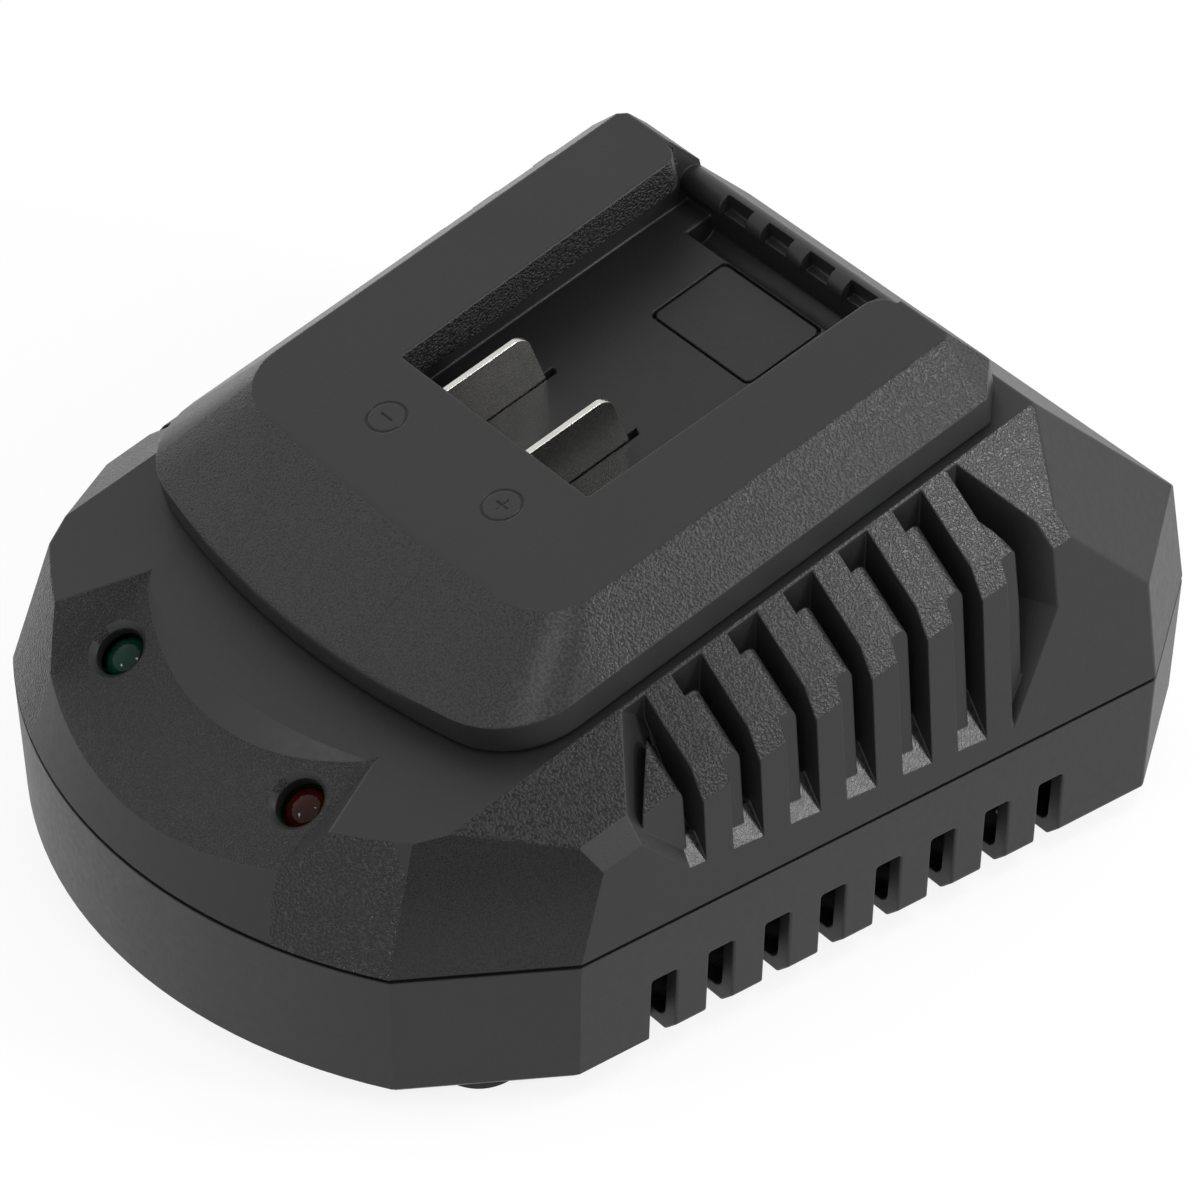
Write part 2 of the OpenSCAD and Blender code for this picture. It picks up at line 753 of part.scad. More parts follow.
// Chamfer round the bottom edge of the lower shell.
module bottom_chamfer_cuts(inset) {
  low = foot_height;
  in = bottom_chamfer + (parting_height - low) * tan(lower_draft);
  both_sides() {
    beyond([side_half_width - in, side_start_y, low], -side_flare, -45, inset);
    beyond([corner_half_width, corner_y, low], corner_heading, -45, inset + in * cos(45));
    beyond([rear_corner_x, rear_corner_y, low], rear_heading, -45, inset + in * cos(45));
  }
  beyond([0, rear_y - in, low], 90, -45, inset);
  difference() {
    translate([-reach / 2, -reach / 2 - 1, low])
      cube([reach, reach / 2 + 1 + front_centre_y, bottom_chamfer]);
    translate([0, front_centre_y, low])
      cylinder(h = bottom_chamfer, r1 = front_radius - in - inset,
               r2 = front_radius - in - inset + bottom_chamfer, $fn = fine * 2);
  }
}

module lower_vents() {
  both_sides() for (i = [0:vent_count - 1])
    translate([side_half_width - vent_reach, vent_start + i * vent_pitch, foot_height - 1])
      cube([vent_reach + 6, vent_width, vent_top - foot_height + 1]);
}

module lower_posts() {
  both_sides() {
    for (y = house_screw_y)
      translate([house_screw_x, y, foot_height])
        cylinder(h = parting_height - foot_height, r = post_radius, $fn = 48);
    for (y = board_screw_y)
      translate([board_screw_x, y, foot_height])
        cylinder(h = board_height - foot_height, r = post_radius, $fn = 48);
  }
}

module foot_places() {
  both_sides() for (y = [-foot_front, foot_rear])
    translate([foot_spacing_x / 2, y, 0]) children();
}

// Locating tongue inside the rim of the lower shell.
module rim_tongue() {
  top = parting_height + tongue_height;
  intersection() {
    difference() {
      upper_form(wall + tongue_clearance, 4);
      upper_form(wall + tongue_clearance + 1.2, 5);
    }
    translate([-reach / 2, -reach / 2, parting_height - 3]) cube([reach, reach, tongue_height + 3]);
  }
}

module lower_shell() {
  color(housing_colour) difference() {
    union() {
      difference() {
        lower_form();
        lower_form(wall);
      }
      rim_tongue();
      lower_posts();
    }
    shadow_line();
    lower_vents();
    foot_places() cylinder(h = foot_height + foot_pocket, r = foot_radius, $fn = 48);
    both_sides() {
      for (y = house_screw_y) {
        translate([house_screw_x, y, 0])
          cylinder(h = 30, r = screw_radius + screw_clearance, $fn = 32);
        translate([house_screw_x, y, 0])
          cylinder(h = house_head_z + head_height, r = head_radius + screw_clearance, $fn = 32);
      }
      for (y = board_screw_y)
        translate([board_screw_x, y, floor_top])
          cylinder(h = board_height, r = screw_radius, $fn = 32);
    }
    inlet_opening();
  }
}

// Step in the rim that leaves the shadow line between the shells.
module shadow_line() {
  difference() {
    translate([-reach / 2, -reach / 2, parting_height - parting_gap]) cube([reach, reach, 30]);
    upper_form(wall / 2, 6);
  }
}

module inlet_opening() {
  translate([-inlet_width / 2, rear_y - 2 * wall - 4, inlet_z])
    cube([inlet_width, 20, inlet_height]);
}

// Outline with a bowed front, rounded front corners and chamfered rear corners.
function bowed_outline(h, nose, rear, cut, c, bow) =
  let (turn = asin((h - c) / (bow - c)), cy = bow - nose - (bow - c) * cos(turn))
    concat([[h, rear - cut], [h - cut, rear], [cut - h, rear], [-h, rear - cut]],
           arc(c - h, cy, c, 180, 270 - turn, 8),
           arc(0, bow - nose, bow, 270 - 0.8 * turn, 270 + 0.8 * turn, 8),
           arc(h - c, cy, c, 270 + turn, 360, 8));

// Outline of the dock at its crest.
module crest_outline(inset = 0) {
  polygon(bowed_outline(dock_half - inset, dock_nose - inset, dock_rear - inset,
                        dock_rear_chamfer, nose_corner - inset, nose_bow - inset));
}

// Outline of the flat dock top.
module top_outline(inset = 0) {
  polygon(bowed_outline(dock_top_half - inset, dock_top_front - inset, dock_top_rear - inset,
                        top_rear_chamfer, top_corner - inset, top_bow - inset));
}

// Outer form of the dock above the deck.
module dock_form(inset = 0, below = 0) {
  skin = 0.02;
  hull() {
    translate([0, 0, -inset - skin]) linear_extrude(skin) top_outline(inset);
    translate([0, 0, -crest_depth - inset / 2]) linear_extrude(skin) crest_outline(inset);
  }
  translate([0, 0, -dock_rise - below])
    linear_extrude(dock_rise - crest_depth - inset / 2 + below + eps) crest_outline(inset);
}

// Plan of the open battery slot between the rails.
module slot_plan() {
  out = dock_rear + 10;
  r = lead_in_half - slot_half_rear;
  polygon(concat([[-slot_half, 0], [slot_half, 0]],
                 arc(lead_in_half, slot_length, r, 180, 90, 6),
                 [[lead_in_half, out], [-lead_in_half, out]],
                 arc(-lead_in_half, slot_length, r, 90, 0, 6)));
}

// Space that the battery foot slides into.
module channel_space() {
  translate([0, 0, -lip_thickness]) linear_extrude(lip_thickness + 1) slot_plan();
  translate([-channel_half, 0, -dock_rise])
    cube([2 * channel_half, dock_rear + 10, dock_rise - lip_thickness]);
  translate([-channel_half, slot_length + 4, -dock_rise])
    cube([2 * channel_half, 12, dock_rise + 1]);
}

// Walls and floor round the battery channel.
module channel_body() {
  length = trough_rear + dock_wall;
  translate([-block_half, -dock_wall, -dock_rise - channel_floor])
    cube([2 * block_half, length, channel_floor + eps]);
  intersection() {
    dock_form();
    translate([-block_half, -dock_wall, -dock_rise]) cube([2 * block_half, length, dock_rise]);
  }
  translate([-groove_half - dock_wall, groove_front - channel_floor, trough_bottom])
    cube([2 * (groove_half + dock_wall), groove_width + 2 * channel_floor,
          -dock_rise - trough_bottom]);
}

// Curved trough that takes the battery latch.
module latch_groove() {
  r = groove_width / 2 + 0.6;
  translate([-groove_half, groove_front + groove_width / 2, 0]) {
    translate([0, -groove_width / 2, -dock_rise - groove_depth + r])
      cube([2 * groove_half, groove_width, r]);
    intersection() {
      translate([0, 0, -dock_rise - groove_depth + r]) rotate([0, 90, 0])
        cylinder(h = 2 * groove_half, r = r, $fn = 64);
      translate([0, -groove_width / 2, -dock_rise - 2 * groove_depth])
        cube([2 * groove_half, groove_width, 3 * groove_depth]);
    }
  }
}

// Rounded ridge behind the latch groove, with its windows.
module rear_ridge() {
  front = groove_front + groove_width;
  top = -dock_rise + ridge_height;
  r = 1.9;
  width = 2 * channel_half + 0.4;
  difference() {
    union() {
      translate([-width / 2, dock_rear - r, top - r]) rotate([0, 90, 0])
        cylinder(h = width, r = r, $fn = 48);
      translate([-width / 2, dock_rear - r, -dock_rise]) cube([width, r, top - r + dock_rise]);
      translate([-width / 2, 0, 0]) rotate([90, 0, 90])
        linear_extrude(width)
          polygon([[front, -dock_rise - eps], [front, -dock_rise + 1.2],
                   [dock_rear - 2 * r + 0.4, top - 1.1], [dock_rear - r, top],
                   [dock_rear - r, -dock_rise - eps]]);
    }
    for (i = [-1.5:1.5])
      translate([i * window_pitch - window_width / 2, dock_rear - 2 * r - 0.2, top - 2.6])
        cube([window_width, 2.2, 6]);
  }
}

// Round ring and sign that mark the polarity.
module polarity_mark(plus) {
  difference() {
    cylinder(h = 2 * mark_depth, r = ring_radius + mark_line / 2, center = true, $fn = 48);
    cylinder(h = 3 * mark_depth, r = ring_radius - mark_line / 2, center = true, $fn = 48);
  }
  cube([mark_stroke, mark_line, 2 * mark_depth], center = true);
  if (plus) cube([mark_line, mark_stroke, 2 * mark_depth], center = true);
}

module dock_cover() {
  color(housing_colour) in_dock() difference() {
    union() {
      difference() {
        dock_form();
        foot_groove();
        difference() {
          dock_form(dock_wall, 1);
          translate([-block_half, -dock_wall, -dock_rise - 1])
            cube([2 * block_half, dock_rear + 10, dock_rise + 1]);
          dock_posts();
        }
        channel_space();
      }
      difference() {
        channel_body();
        channel_space();
      }
      intersection() {
        dock_form();
        rear_ridge();
      }
    }
    latch_groove();
    insert_pocket(insert_gap);
    blade_slots();
    both_sides() for (y = dock_screw_y)
      translate([dock_screw_x, y, -dock_rise - 1])
        cylinder(h = screw_length, r = screw_radius, $fn = 32);
    translate([-ring_x, -ring_y, 0]) polarity_mark(false);
    translate([ring_x, -ring_y, 0]) polarity_mark(true);
  }
}

// Shadow groove round the foot of the dock.
module foot_groove() {
  translate([0, 0, -dock_rise - 1]) linear_extrude(1 + dock_groove) difference() {
    square([2 * reach, 2 * reach], center = true);
    crest_outline(dock_groove);
    translate([-block_half, 0]) square([2 * block_half, dock_rear - dock_groove]);
  }
}

// Posts inside the dock that take its screws.
module dock_posts() {
  both_sides() for (y = dock_screw_y)
    translate([dock_screw_x, y, -dock_rise])
      cylinder(h = dock_rise - 1, r = post_radius, $fn = 48);
}

// Rounded plan of the blank insert, grown by the gap.
module insert_plan(grow = 0) {
  h = insert_half + grow;
  r = insert_corner;
  lo = insert_front - grow;
  hi = insert_front + insert_length + grow;
  polygon(concat(arc(h - r, hi - r, r, 0, 90, 5), arc(r - h, hi - r, r, 90, 180, 5),
                 arc(r - h, lo + r, r, 180, 270, 5), arc(h - r, lo + r, r, 270, 360, 5)));
}

module insert_pocket(grow) {
  translate([0, 0, -dock_rise - insert_thickness]) linear_extrude(insert_thickness + 1)
    intersection() {
      insert_plan(grow);
      translate([-20, 0]) square([40, groove_front - 0.1]);
    }
}

module channel_insert() {
  color(housing_colour) in_dock()
    translate([0, 0, -dock_rise - insert_thickness]) linear_extrude(insert_thickness)
      insert_plan();
}

// Openings in the channel floor for the blades.
module blade_slots() {
  c = blade_clearance;
  for (x = [negative_x, positive_x])
    translate([x - blade_thickness / 2 - c, -1 - c, -dock_rise - 3 * channel_floor])
      cube([blade_thickness + 2 * c, blade_length + 4.6 + 2 * c, 3 * channel_floor + eps]);
}

// One upright terminal blade with a sloping, rounded end.
module blade() {
  top = -blade_top_drop;
  low = -dock_rise - block_depth - 3;
  run = blade_length;
  translate([-blade_thickness / 2, 0, 0]) rotate([90, 0, 90])
    linear_extrude(blade_thickness)
      polygon(concat([[0.3, low], [6, low], [6, -dock_rise - block_depth + 1],
                      [run + 2, -dock_rise - block_depth + 1], [run + 2, -dock_rise]],
                     arc(run - 1.4, top - 2.4, 2.4, 12, 80, 6),
                     [[0.3, top]]));
}

module negative_blade() {
  color(blade_colour) in_dock() translate([negative_x, 0, 0]) blade();
}

module positive_blade() {
  color(blade_colour) in_dock() translate([positive_x, 0, 0]) blade();
}

// Moulded block under the channel floor that grips the blades.
module terminal_block() {
  width = positive_x - negative_x + 10;
  color(dark_colour) in_dock() difference() {
    translate([negative_x - 5, -2, -dock_rise - channel_floor - block_depth])
      cube([width, 22, block_depth]);
    for (x = [negative_x, positive_x]) translate([x, 0, 0]) {
      intersection() {
        blade();
        translate([-1, 0, -40]) cube([2, 40, 40]);
      }
    }
  }
}

// Domed lamp lens with its collar, standing on the lamp board.
module lamp() {
  low = -wall - lamp_board_gap;
  ball = (pow(lamp_radius, 2) + pow(lamp_dome, 2)) / (2 * lamp_dome);
  rotate_extrude($fn = 64)
    polygon(concat([[0, low], [lamp_radius + 0.4, low], [lamp_radius + 0.4, low + 1],
                    [lamp_radius, low + 1]],
                   arc(0, -lamp_sink - ball, ball, asin(1 - lamp_dome / ball), 90, 12)));
}

module green_lamp() {
  color("#14463a") in_panel() translate([-lamp_x, 0, 0]) lamp();
}

module red_lamp() {
  color("#6e1010") in_panel() translate([lamp_x, 0, 0]) lamp();
}

// Small board under the panel that carries the lamps.
module lamp_board() {
  half = lamp_x + 4;
  color("#2d5a35") in_panel() difference() {
    translate([-half, -lamp_board_depth / 2, -wall - lamp_board_gap - board_thickness])
      cube([2 * half, lamp_board_depth, board_thickness]);
    for (x = [-lamp_post_x, lamp_post_x])
      translate([x, lamp_post_y, -20]) cylinder(h = 20, r = 0.8, $fn = 24);
  }
}

// Places its children on the board, a distance in from its right and rear edges;
// a negative distance is taken from the left or the front edge.
module on_board(right, rear) {
  x = right > 0 ? board_half - right : -board_half - right;
  y = rear > 0 ? board_rear - rear : board_front - rear;
  translate([x, y, board_top]) children();
}

module main_board() {
  color("#2d5a35") difference() {
    translate([-board_half, board_front, board_height])
      cube([2 * board_half, board_length, board_thickness]);
    both_sides() {
      for (y = board_screw_y)
        translate([board_screw_x, y, 0])
          cylinder(h = 30, r = screw_radius + screw_clearance, $fn = 32);
      for (y = house_screw_y)
        translate([house_screw_x, y, 0])
          cylinder(h = 30, r = post_radius + 2 * screw_clearance, $fn = 48);
    }
  }
}

// Ferrite core: two side legs, two bridges and a round middle leg.
module transformer_core() {
  leg = core_width / 6;
  depth = core_width * 0.6;
  color(dark_colour) on_board(-core_left, core_rear) {
    difference() {
      translate([-core_width / 2, -depth / 2, 0]) cube([core_width, depth, core_height]);
      translate([-core_width / 2 + leg, -depth, leg])
        cube([core_width - 2 * leg, 2 * depth, core_height - 2 * leg]);
    }
    translate([0, 0, leg - eps]) cylinder(h = core_height - 2 * leg + 2 * eps, r = leg, $fn = 48);
  }
}

// Winding on a flanged bobbin round the middle leg.
module transformer_coil() {
  leg = core_width / 6;
  outer = core_width / 2 - leg - 0.4;
  window = core_height - 2 * leg;
  color("#b08a35") on_board(-core_left, core_rear) translate([0, 0, leg]) difference() {
    union() {
      cylinder(h = 1, r = outer, $fn = 64);
      translate([0, 0, window - 1]) cylinder(h = 1, r = outer, $fn = 64);
      cylinder(h = window, r = outer - 1, $fn = 64);
    }
    translate([0, 0, -1]) cylinder(h = core_height, r = leg, $fn = 48);
  }
}

// Capacitor can with a rolled groove near its foot.
module can(r, h) {
  groove = r / 16;
  rotate_extrude($fn = 64)
    polygon([[0, 0], [r, 0], [r, r / 4], [r - groove, r / 3], [r, r / 2.4], [r, h - groove],
             [r - groove, h], [0, h]]);
}

module mains_capacitor() {
  color("#2a3550") on_board(can_right, can_rear) can(can_radius, can_height);
}

module output_capacitor() {
  color("#2a3550") on_board(-small_can_left, -small_can_front)
    can(small_can_radius, small_can_height);
}

// Extruded heat sink with upright ribs.
module heat_sink() {
  ribs = 7;
  rib = sink_plate / 2;
  color("#a7a9ab") on_board(sink_right, -sink_front) {
    cube([sink_width, sink_plate, sink_height]);
    for (i = [0:ribs - 1])
      translate([i * (sink_width - rib) / (ribs - 1), -sink_depth, 0])
        cube([rib, sink_depth + eps, sink_height]);
  }
}

// Flat power transistor on the heat sink: body, tab and three legs.
module power_transistor() {
  w = transistor_width;
  tab = 0.3 * transistor_depth;
  color(dark_colour) on_board(sink_right, -sink_front)
    translate([(sink_width - w) / 2, sink_plate, 0]) {
      difference() {
        translate([0, 0, leg_height]) {
          cube([w, transistor_depth, 0.9 * w]);
          cube([w, tab, 1.5 * w]);
        }
        translate([w / 2, -1, leg_height + 1.22 * w]) rotate([-90, 0, 0])
          cylinder(h = 6, r = 0.18 * w, $fn = 32);
      }
      for (i = [0:2])
        translate([0.2 * w + 0.26 * w * i, 2, 0])
          cube([0.08 * w, 0.06 * w, leg_height + eps]);
    }
}

// Bridge rectifier: a bevelled block on four legs.
module bridge_rectifier() {
  w = rectifier_width;
  bevel = 0.2 * w;
  color(dark_colour) on_board(-rectifier_left, rectifier_rear) {
    difference() {
      translate([-w / 2, 0, leg_height]) cube([w, rectifier_depth, rectifier_height]);
      translate([-w / 2, rectifier_depth / 2, leg_height + rectifier_height]) rotate([0, 45, 0])
        cube([bevel, 2 * rectifier_depth, bevel], center = true);
    }
    for (i = [-1.5:1.5])
      translate([(0.24 * i - 0.02) * w, 0.4 * rectifier_depth, 0])
        cube([0.045 * w, 0.2 * rectifier_depth, leg_height + eps]);
  }
}

// Glass tube fuse with end caps on two clips.
module fuse() {
  r = fuse_radius;
  cap = fuse_length / 4;
  color("#bfc4c6") on_board(fuse_right, -fuse_front)
    translate([0, 0, leg_height - 1 + r]) rotate([-90, 0, 0]) {
      cylinder(h = fuse_length, r = r - 0.4, $fn = 32);
      for (y = [0, fuse_length - cap]) translate([0, 0, y]) {
        cylinder(h = cap, r = r, $fn = 32);
        translate([-r, 0, 1]) cube([2 * r, leg_height - 1 + r, cap - 2]);
      }
    }
}

// Ring core choke lying on the board.
module choke_coil() {
  color("#b08a35") on_board(-choke_left, -choke_front) translate([0, 0, choke_winding])
    rotate_extrude($fn = 64) translate([choke_ring, 0]) circle(r = choke_winding, $fn = 40);
}

// Two pole inlet in the rear wall: flanged body with a figure eight recess.
module mains_inlet() {
  w = inlet_width - 2 * inlet_clearance;
  h = inlet_height - 2 * inlet_clearance;
  low = inlet_clearance - inlet_height / 2;
  color(dark_colour) translate([0, inlet_back_y, inlet_z + inlet_height / 2]) difference() {
    union() {
      translate([-w / 2, -inlet_depth, low]) cube([w, inlet_depth, h]);
      translate([-w / 2 - 2, -wall - 1.5, low - 0.6]) cube([w + 4, 2, h + 3]);
    }
    translate([0, 1, 0]) rotate([90, 0, 0]) linear_extrude(pin_length - 0.5) inlet_recess();
    translate([0, -inlet_back_y, -inlet_z - inlet_height / 2]) pin_pair();
  }
}

module inlet_recess() {
  for (x = [-pin_half_spacing, pin_half_spacing])
    translate([x, 0]) circle(r = inlet_round, $fn = 48);
  square([2 * pin_half_spacing, 1.44 * inlet_round], center = true);
}

module inlet_pins() {
  color(blade_colour) pin_pair();
}

module pin_pair() {
  for (x = [-pin_half_spacing, pin_half_spacing])
    translate([x, inlet_back_y - 1.5, inlet_z + inlet_height / 2]) rotate([90, 0, 0])
      cylinder(h = pin_length, r = pin_radius, $fn = 32);
}

module rubber_feet() {
  color("#1c1c1c") foot_places() rotate_extrude($fn = 64)
    polygon([[0, 0], [foot_radius - 0.9, 0], [foot_radius - 0.3, 0.6],
             [foot_radius - 0.3, foot_height + foot_pocket], [0, foot_height + foot_pocket]]);
}

// Cheese head screw with a cross recess, head down at the origin.
module screw(length) {
  difference() {
    union() {
      cylinder(h = head_height, r = head_radius, $fn = 40);
      cylinder(h = head_height + length, r = screw_radius, $fn = 32);
    }
    cube([2.6, 0.6, 2], center = true);
    cube([0.6, 2.6, 2], center = true);
  }
}

module housing_screws() {
  color("#8c8f91") both_sides() for (y = house_screw_y)
    translate([house_screw_x, y, house_head_z]) screw(head_sink - head_height + screw_bite);
}

module board_screws() {
  color("#8c8f91") both_sides() for (y = board_screw_y)
    translate([board_screw_x, y, board_top + head_height]) mirror([0, 0, 1]) screw(7);
}

module dock_screws() {
  color("#8c8f91") in_dock() both_sides() for (y = dock_screw_y)
    translate([dock_screw_x, y, -dock_rise - wall - head_height]) screw(wall + 5);
}

lower_shell();
upper_shell();
dock_cover();
channel_insert();
negative_blade();
positive_blade();
terminal_block();
green_lamp();
red_lamp();
lamp_board();
main_board();
transformer_core();
transformer_coil();
mains_capacitor();
output_capacitor();
heat_sink();
power_transistor();
bridge_rectifier();
fuse();
choke_coil();
mains_inlet();
inlet_pins();
rubber_feet();
housing_screws();
board_screws();
dock_screws();
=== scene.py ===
"""Looks of the power tool battery charger: shells with rounded edges and grained plastic,
nickel blades, tinted lamps and the parts inside, on a plain pale stage."""
import math

import bmesh
import bpy
from mathutils import Matrix, Vector


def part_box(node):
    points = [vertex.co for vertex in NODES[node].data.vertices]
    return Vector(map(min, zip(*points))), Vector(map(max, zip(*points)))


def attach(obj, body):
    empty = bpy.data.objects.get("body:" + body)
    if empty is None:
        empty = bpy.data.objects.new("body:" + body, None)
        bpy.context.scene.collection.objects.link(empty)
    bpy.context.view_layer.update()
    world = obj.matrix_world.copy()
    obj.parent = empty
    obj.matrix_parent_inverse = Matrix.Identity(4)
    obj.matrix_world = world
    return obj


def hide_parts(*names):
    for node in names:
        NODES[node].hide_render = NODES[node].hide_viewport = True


bl_info = {
    "name": "Battery charger looks",
    "version": (1, 0, 0),
    "blender": (4, 5, 0),
    "location": "View3D > Sidebar > Charger",
    "description": "Dresses the packed battery charger and sets up its studio",
    "category": "Object",
}

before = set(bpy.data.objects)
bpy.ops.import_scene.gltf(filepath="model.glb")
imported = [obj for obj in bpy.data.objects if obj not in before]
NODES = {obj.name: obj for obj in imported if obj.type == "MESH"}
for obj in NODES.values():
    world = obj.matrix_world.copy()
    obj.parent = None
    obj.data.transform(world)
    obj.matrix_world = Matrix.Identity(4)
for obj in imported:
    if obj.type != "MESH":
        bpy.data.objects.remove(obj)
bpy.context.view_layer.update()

MM = 0.001
TILT = math.radians(12.5)
SLOPE = math.tan(TILT)
MARK_X = 11.67 * MM
DOCK_ORIGIN = Vector((0, -10.5, 60.8)) * MM
FLAT_ANGLE = math.radians(0.6)
CURVE_ANGLE = math.radians(11.5)

EDGE_RADIUS = 0.3 * MM
RECESS_RADIUS = 0.12 * MM
BLADE_RADIUS = 0.12 * MM
INSERT_RADIUS = 0.15 * MM
MARK_RADIUS = 0.05 * MM
LEAST_RADIUS = 0.04 * MM

GRILLE_FRONT, GRILLE_REAR = -31, 38
RECESS_INNER, LEATHER_INNER = 39.9, 40.5
SILL_INNER, SILL_LOW, SILL_HIGH = 48, 26, 33.5
CREASE_START, CREASE_END = -24, -27
CREASE_SIDE_START, CREASE_SIDE_END = 27, 18
GRAIN_START, GRAIN_FULL = -31, -15

CAMERA_PLACE = Vector((480.3, -383.4, 518.5)) * MM
CAMERA_RIGHT = Vector((0.63044, 0.77624, 0.0))
CAMERA_BACK = Vector((0.60645, -0.49254, 0.62418))

NICKEL = (0.62, 0.61, 0.58)
WHITE = (1, 1, 1, 1)
PAPER = (0.98, 0.98, 0.98)


def dock_local(point):
    """A point of the row frame in the tilted frame of the dock, in millimetres."""
    d = (point - DOCK_ORIGIN) / MM
    c, s = math.cos(TILT), math.sin(TILT)
    return Vector((d.x, d.y * c + d.z * s, -d.y * s + d.z * c))


class ChargerShellSettings(bpy.types.PropertyGroup):
    """Sizes of the moulded finish."""

    edge_radius: bpy.props.FloatProperty(
        name="Edge radius", description="Rounding of the moulded edges",
        default=EDGE_RADIUS, min=0.0, max=0.002, unit="LENGTH")
    soft_radius: bpy.props.FloatProperty(
        name="Soft edge radius", description="Rounding of the softest crease of the dock",
        default=0.002, min=0.0, max=0.004, unit="LENGTH")
    edge_angle: bpy.props.FloatProperty(
        name="Edge angle", description="Edges sharper than this are rounded",
        default=math.radians(35), min=0.1, max=1.5, unit="ROTATION")
    edge_segments: bpy.props.IntProperty(
        name="Edge segments", description="Faces across a rounded edge",
        default=3, min=1, max=6)
    coarse_size: bpy.props.FloatProperty(
        name="Leather grain size", description="Size of the coarse grain",
        default=0.00036, min=0.0001, max=0.002, unit="LENGTH")
    coarse_height: bpy.props.FloatProperty(
        name="Leather grain height", description="Height of the coarse grain",
        default=0.00004, min=0.0, max=0.001, unit="LENGTH")
    fine_size: bpy.props.FloatProperty(
        name="Fine grain size", description="Size of the fine grain",
        default=0.00022, min=0.00005, max=0.002, unit="LENGTH")
    fine_height: bpy.props.FloatProperty(
        name="Fine grain height", description="Height of the fine grain",
        default=0.00002, min=0.0, max=0.001, unit="LENGTH")
    gloss: bpy.props.FloatProperty(
        name="Gloss", description="Strength of the reflection of the plastic",
        default=0.37, min=0, max=1)
    tone: bpy.props.FloatVectorProperty(
        name="Housing colour", description="Linear colour of the moulded plastic",
        default=(0.0118, 0.0122, 0.0121), size=3, subtype="COLOR")


class ChargerStageSettings(bpy.types.PropertyGroup):
    """Camera and light of the studio."""

    lens: bpy.props.FloatProperty(
        name="Lens", description="Focal length in millimetres",
        default=182.55, min=20, max=400)
    backdrop: bpy.props.FloatProperty(
        name="Backdrop", description="Brightness of the backdrop seen by the camera",
        default=1.0, min=0, max=1)
    shade: bpy.props.FloatProperty(
        name="Shadow", description="Share of the real shadow in the floor that is seen",
        default=0.15, min=0, max=1)
    fill: bpy.props.FloatProperty(
        name="Fill", description="Light of the surroundings", default=0.85, min=0, max=2)
    side_power: bpy.props.FloatProperty(
        name="Side light", description="Power of the low light on the right, in watts",
        default=1.2, min=0, max=10)
    top_power: bpy.props.FloatProperty(
        name="Top light", description="Power of the near light above the rear, in watts",
        default=0.07, min=0, max=10)
    front_power: bpy.props.FloatProperty(
        name="Front light", description="Power of the small near light ahead, in watts",
        default=0.05, min=0, max=10)
    left_power: bpy.props.FloatProperty(
        name="Left light", description="Power of the low light behind the left, in watts",
        default=0.6, min=0, max=10)


# ---------------------------------------------------------------- materials

def new_material(name):
    """An empty node material with its output and surface shader."""
    material = bpy.data.materials.new(name)
    material.use_nodes = True
    tree = material.node_tree
    tree.nodes.clear()
    out = tree.nodes.new("ShaderNodeOutputMaterial")
    shader = tree.nodes.new("ShaderNodeBsdfPrincipled")
    tree.links.new(shader.outputs[0], out.inputs["Surface"])
    coords = tree.nodes.new("ShaderNodeTexCoord")
    return material, tree, shader, coords.outputs["Object"]


def add_noise(tree, vector, scale, detail=2.0, rough=0.5):
    """A noise value from 0 to 1; the scale counts its waves per metre."""
    node = tree.nodes.new("ShaderNodeTexNoise")
    node.inputs["Scale"].default_value = scale
    node.inputs["Detail"].default_value = detail
    node.inputs["Roughness"].default_value = rough
    tree.links.new(vector, node.inputs["Vector"])
    return node.outputs["Fac"]


def add_map(tree, value, low, high, lo_in=0.0, hi_in=1.0, smooth=False):
    """Stretches a value from one range to another."""
    node = tree.nodes.new("ShaderNodeMapRange")
    node.interpolation_type = "SMOOTHSTEP" if smooth else "LINEAR"
    node.inputs["From Min"].default_value = lo_in
    node.inputs["From Max"].default_value = hi_in
    node.inputs["To Min"].default_value = low
    node.inputs["To Max"].default_value = high
    tree.links.new(value, node.inputs["Value"])
    return node.outputs["Result"]


def add_bump(tree, height, distance, strength=1.0, under=None):
    """Normals that follow a height, on top of the normals under it."""
    node = tree.nodes.new("ShaderNodeBump")
    node.inputs["Distance"].default_value = distance
    node.inputs["Strength"].default_value = strength
    tree.links.new(height, node.inputs["Height"])
    if under is not None:
        tree.links.new(under, node.inputs["Normal"])
    return node.outputs["Normal"]


def tinted(tree, vector, color, spread, scale):
    """Base colour that varies a little from place to place."""
    noise = add_noise(tree, vector, scale, 3)
    factor = add_map(tree, noise, 1 - spread, 1 + spread, 0.3, 0.7)
    mix = tree.nodes.new("ShaderNodeVectorMath")
    mix.operation = "SCALE"
    mix.inputs[0].default_value = color[:3]
    tree.links.new(factor, mix.inputs["Scale"])
    return mix.outputs["Vector"]


def add_fade(tree, vector, axis, start, end):
    """A value that grows from 0 to 1 between two places along an axis, in millimetres."""
    split = tree.nodes.new("ShaderNodeSeparateXYZ")
    tree.links.new(vector, split.inputs["Vector"])
    return add_map(tree, split.outputs[axis], 0, 1, start * MM, end * MM, True)


def soft_edges(tree, radius):
    """Normals rounded over the edges of the piece."""
    node = tree.nodes.new("ShaderNodeBevel")
    node.samples = 6
    node.inputs["Radius"].default_value = radius
    return node.outputs["Normal"]


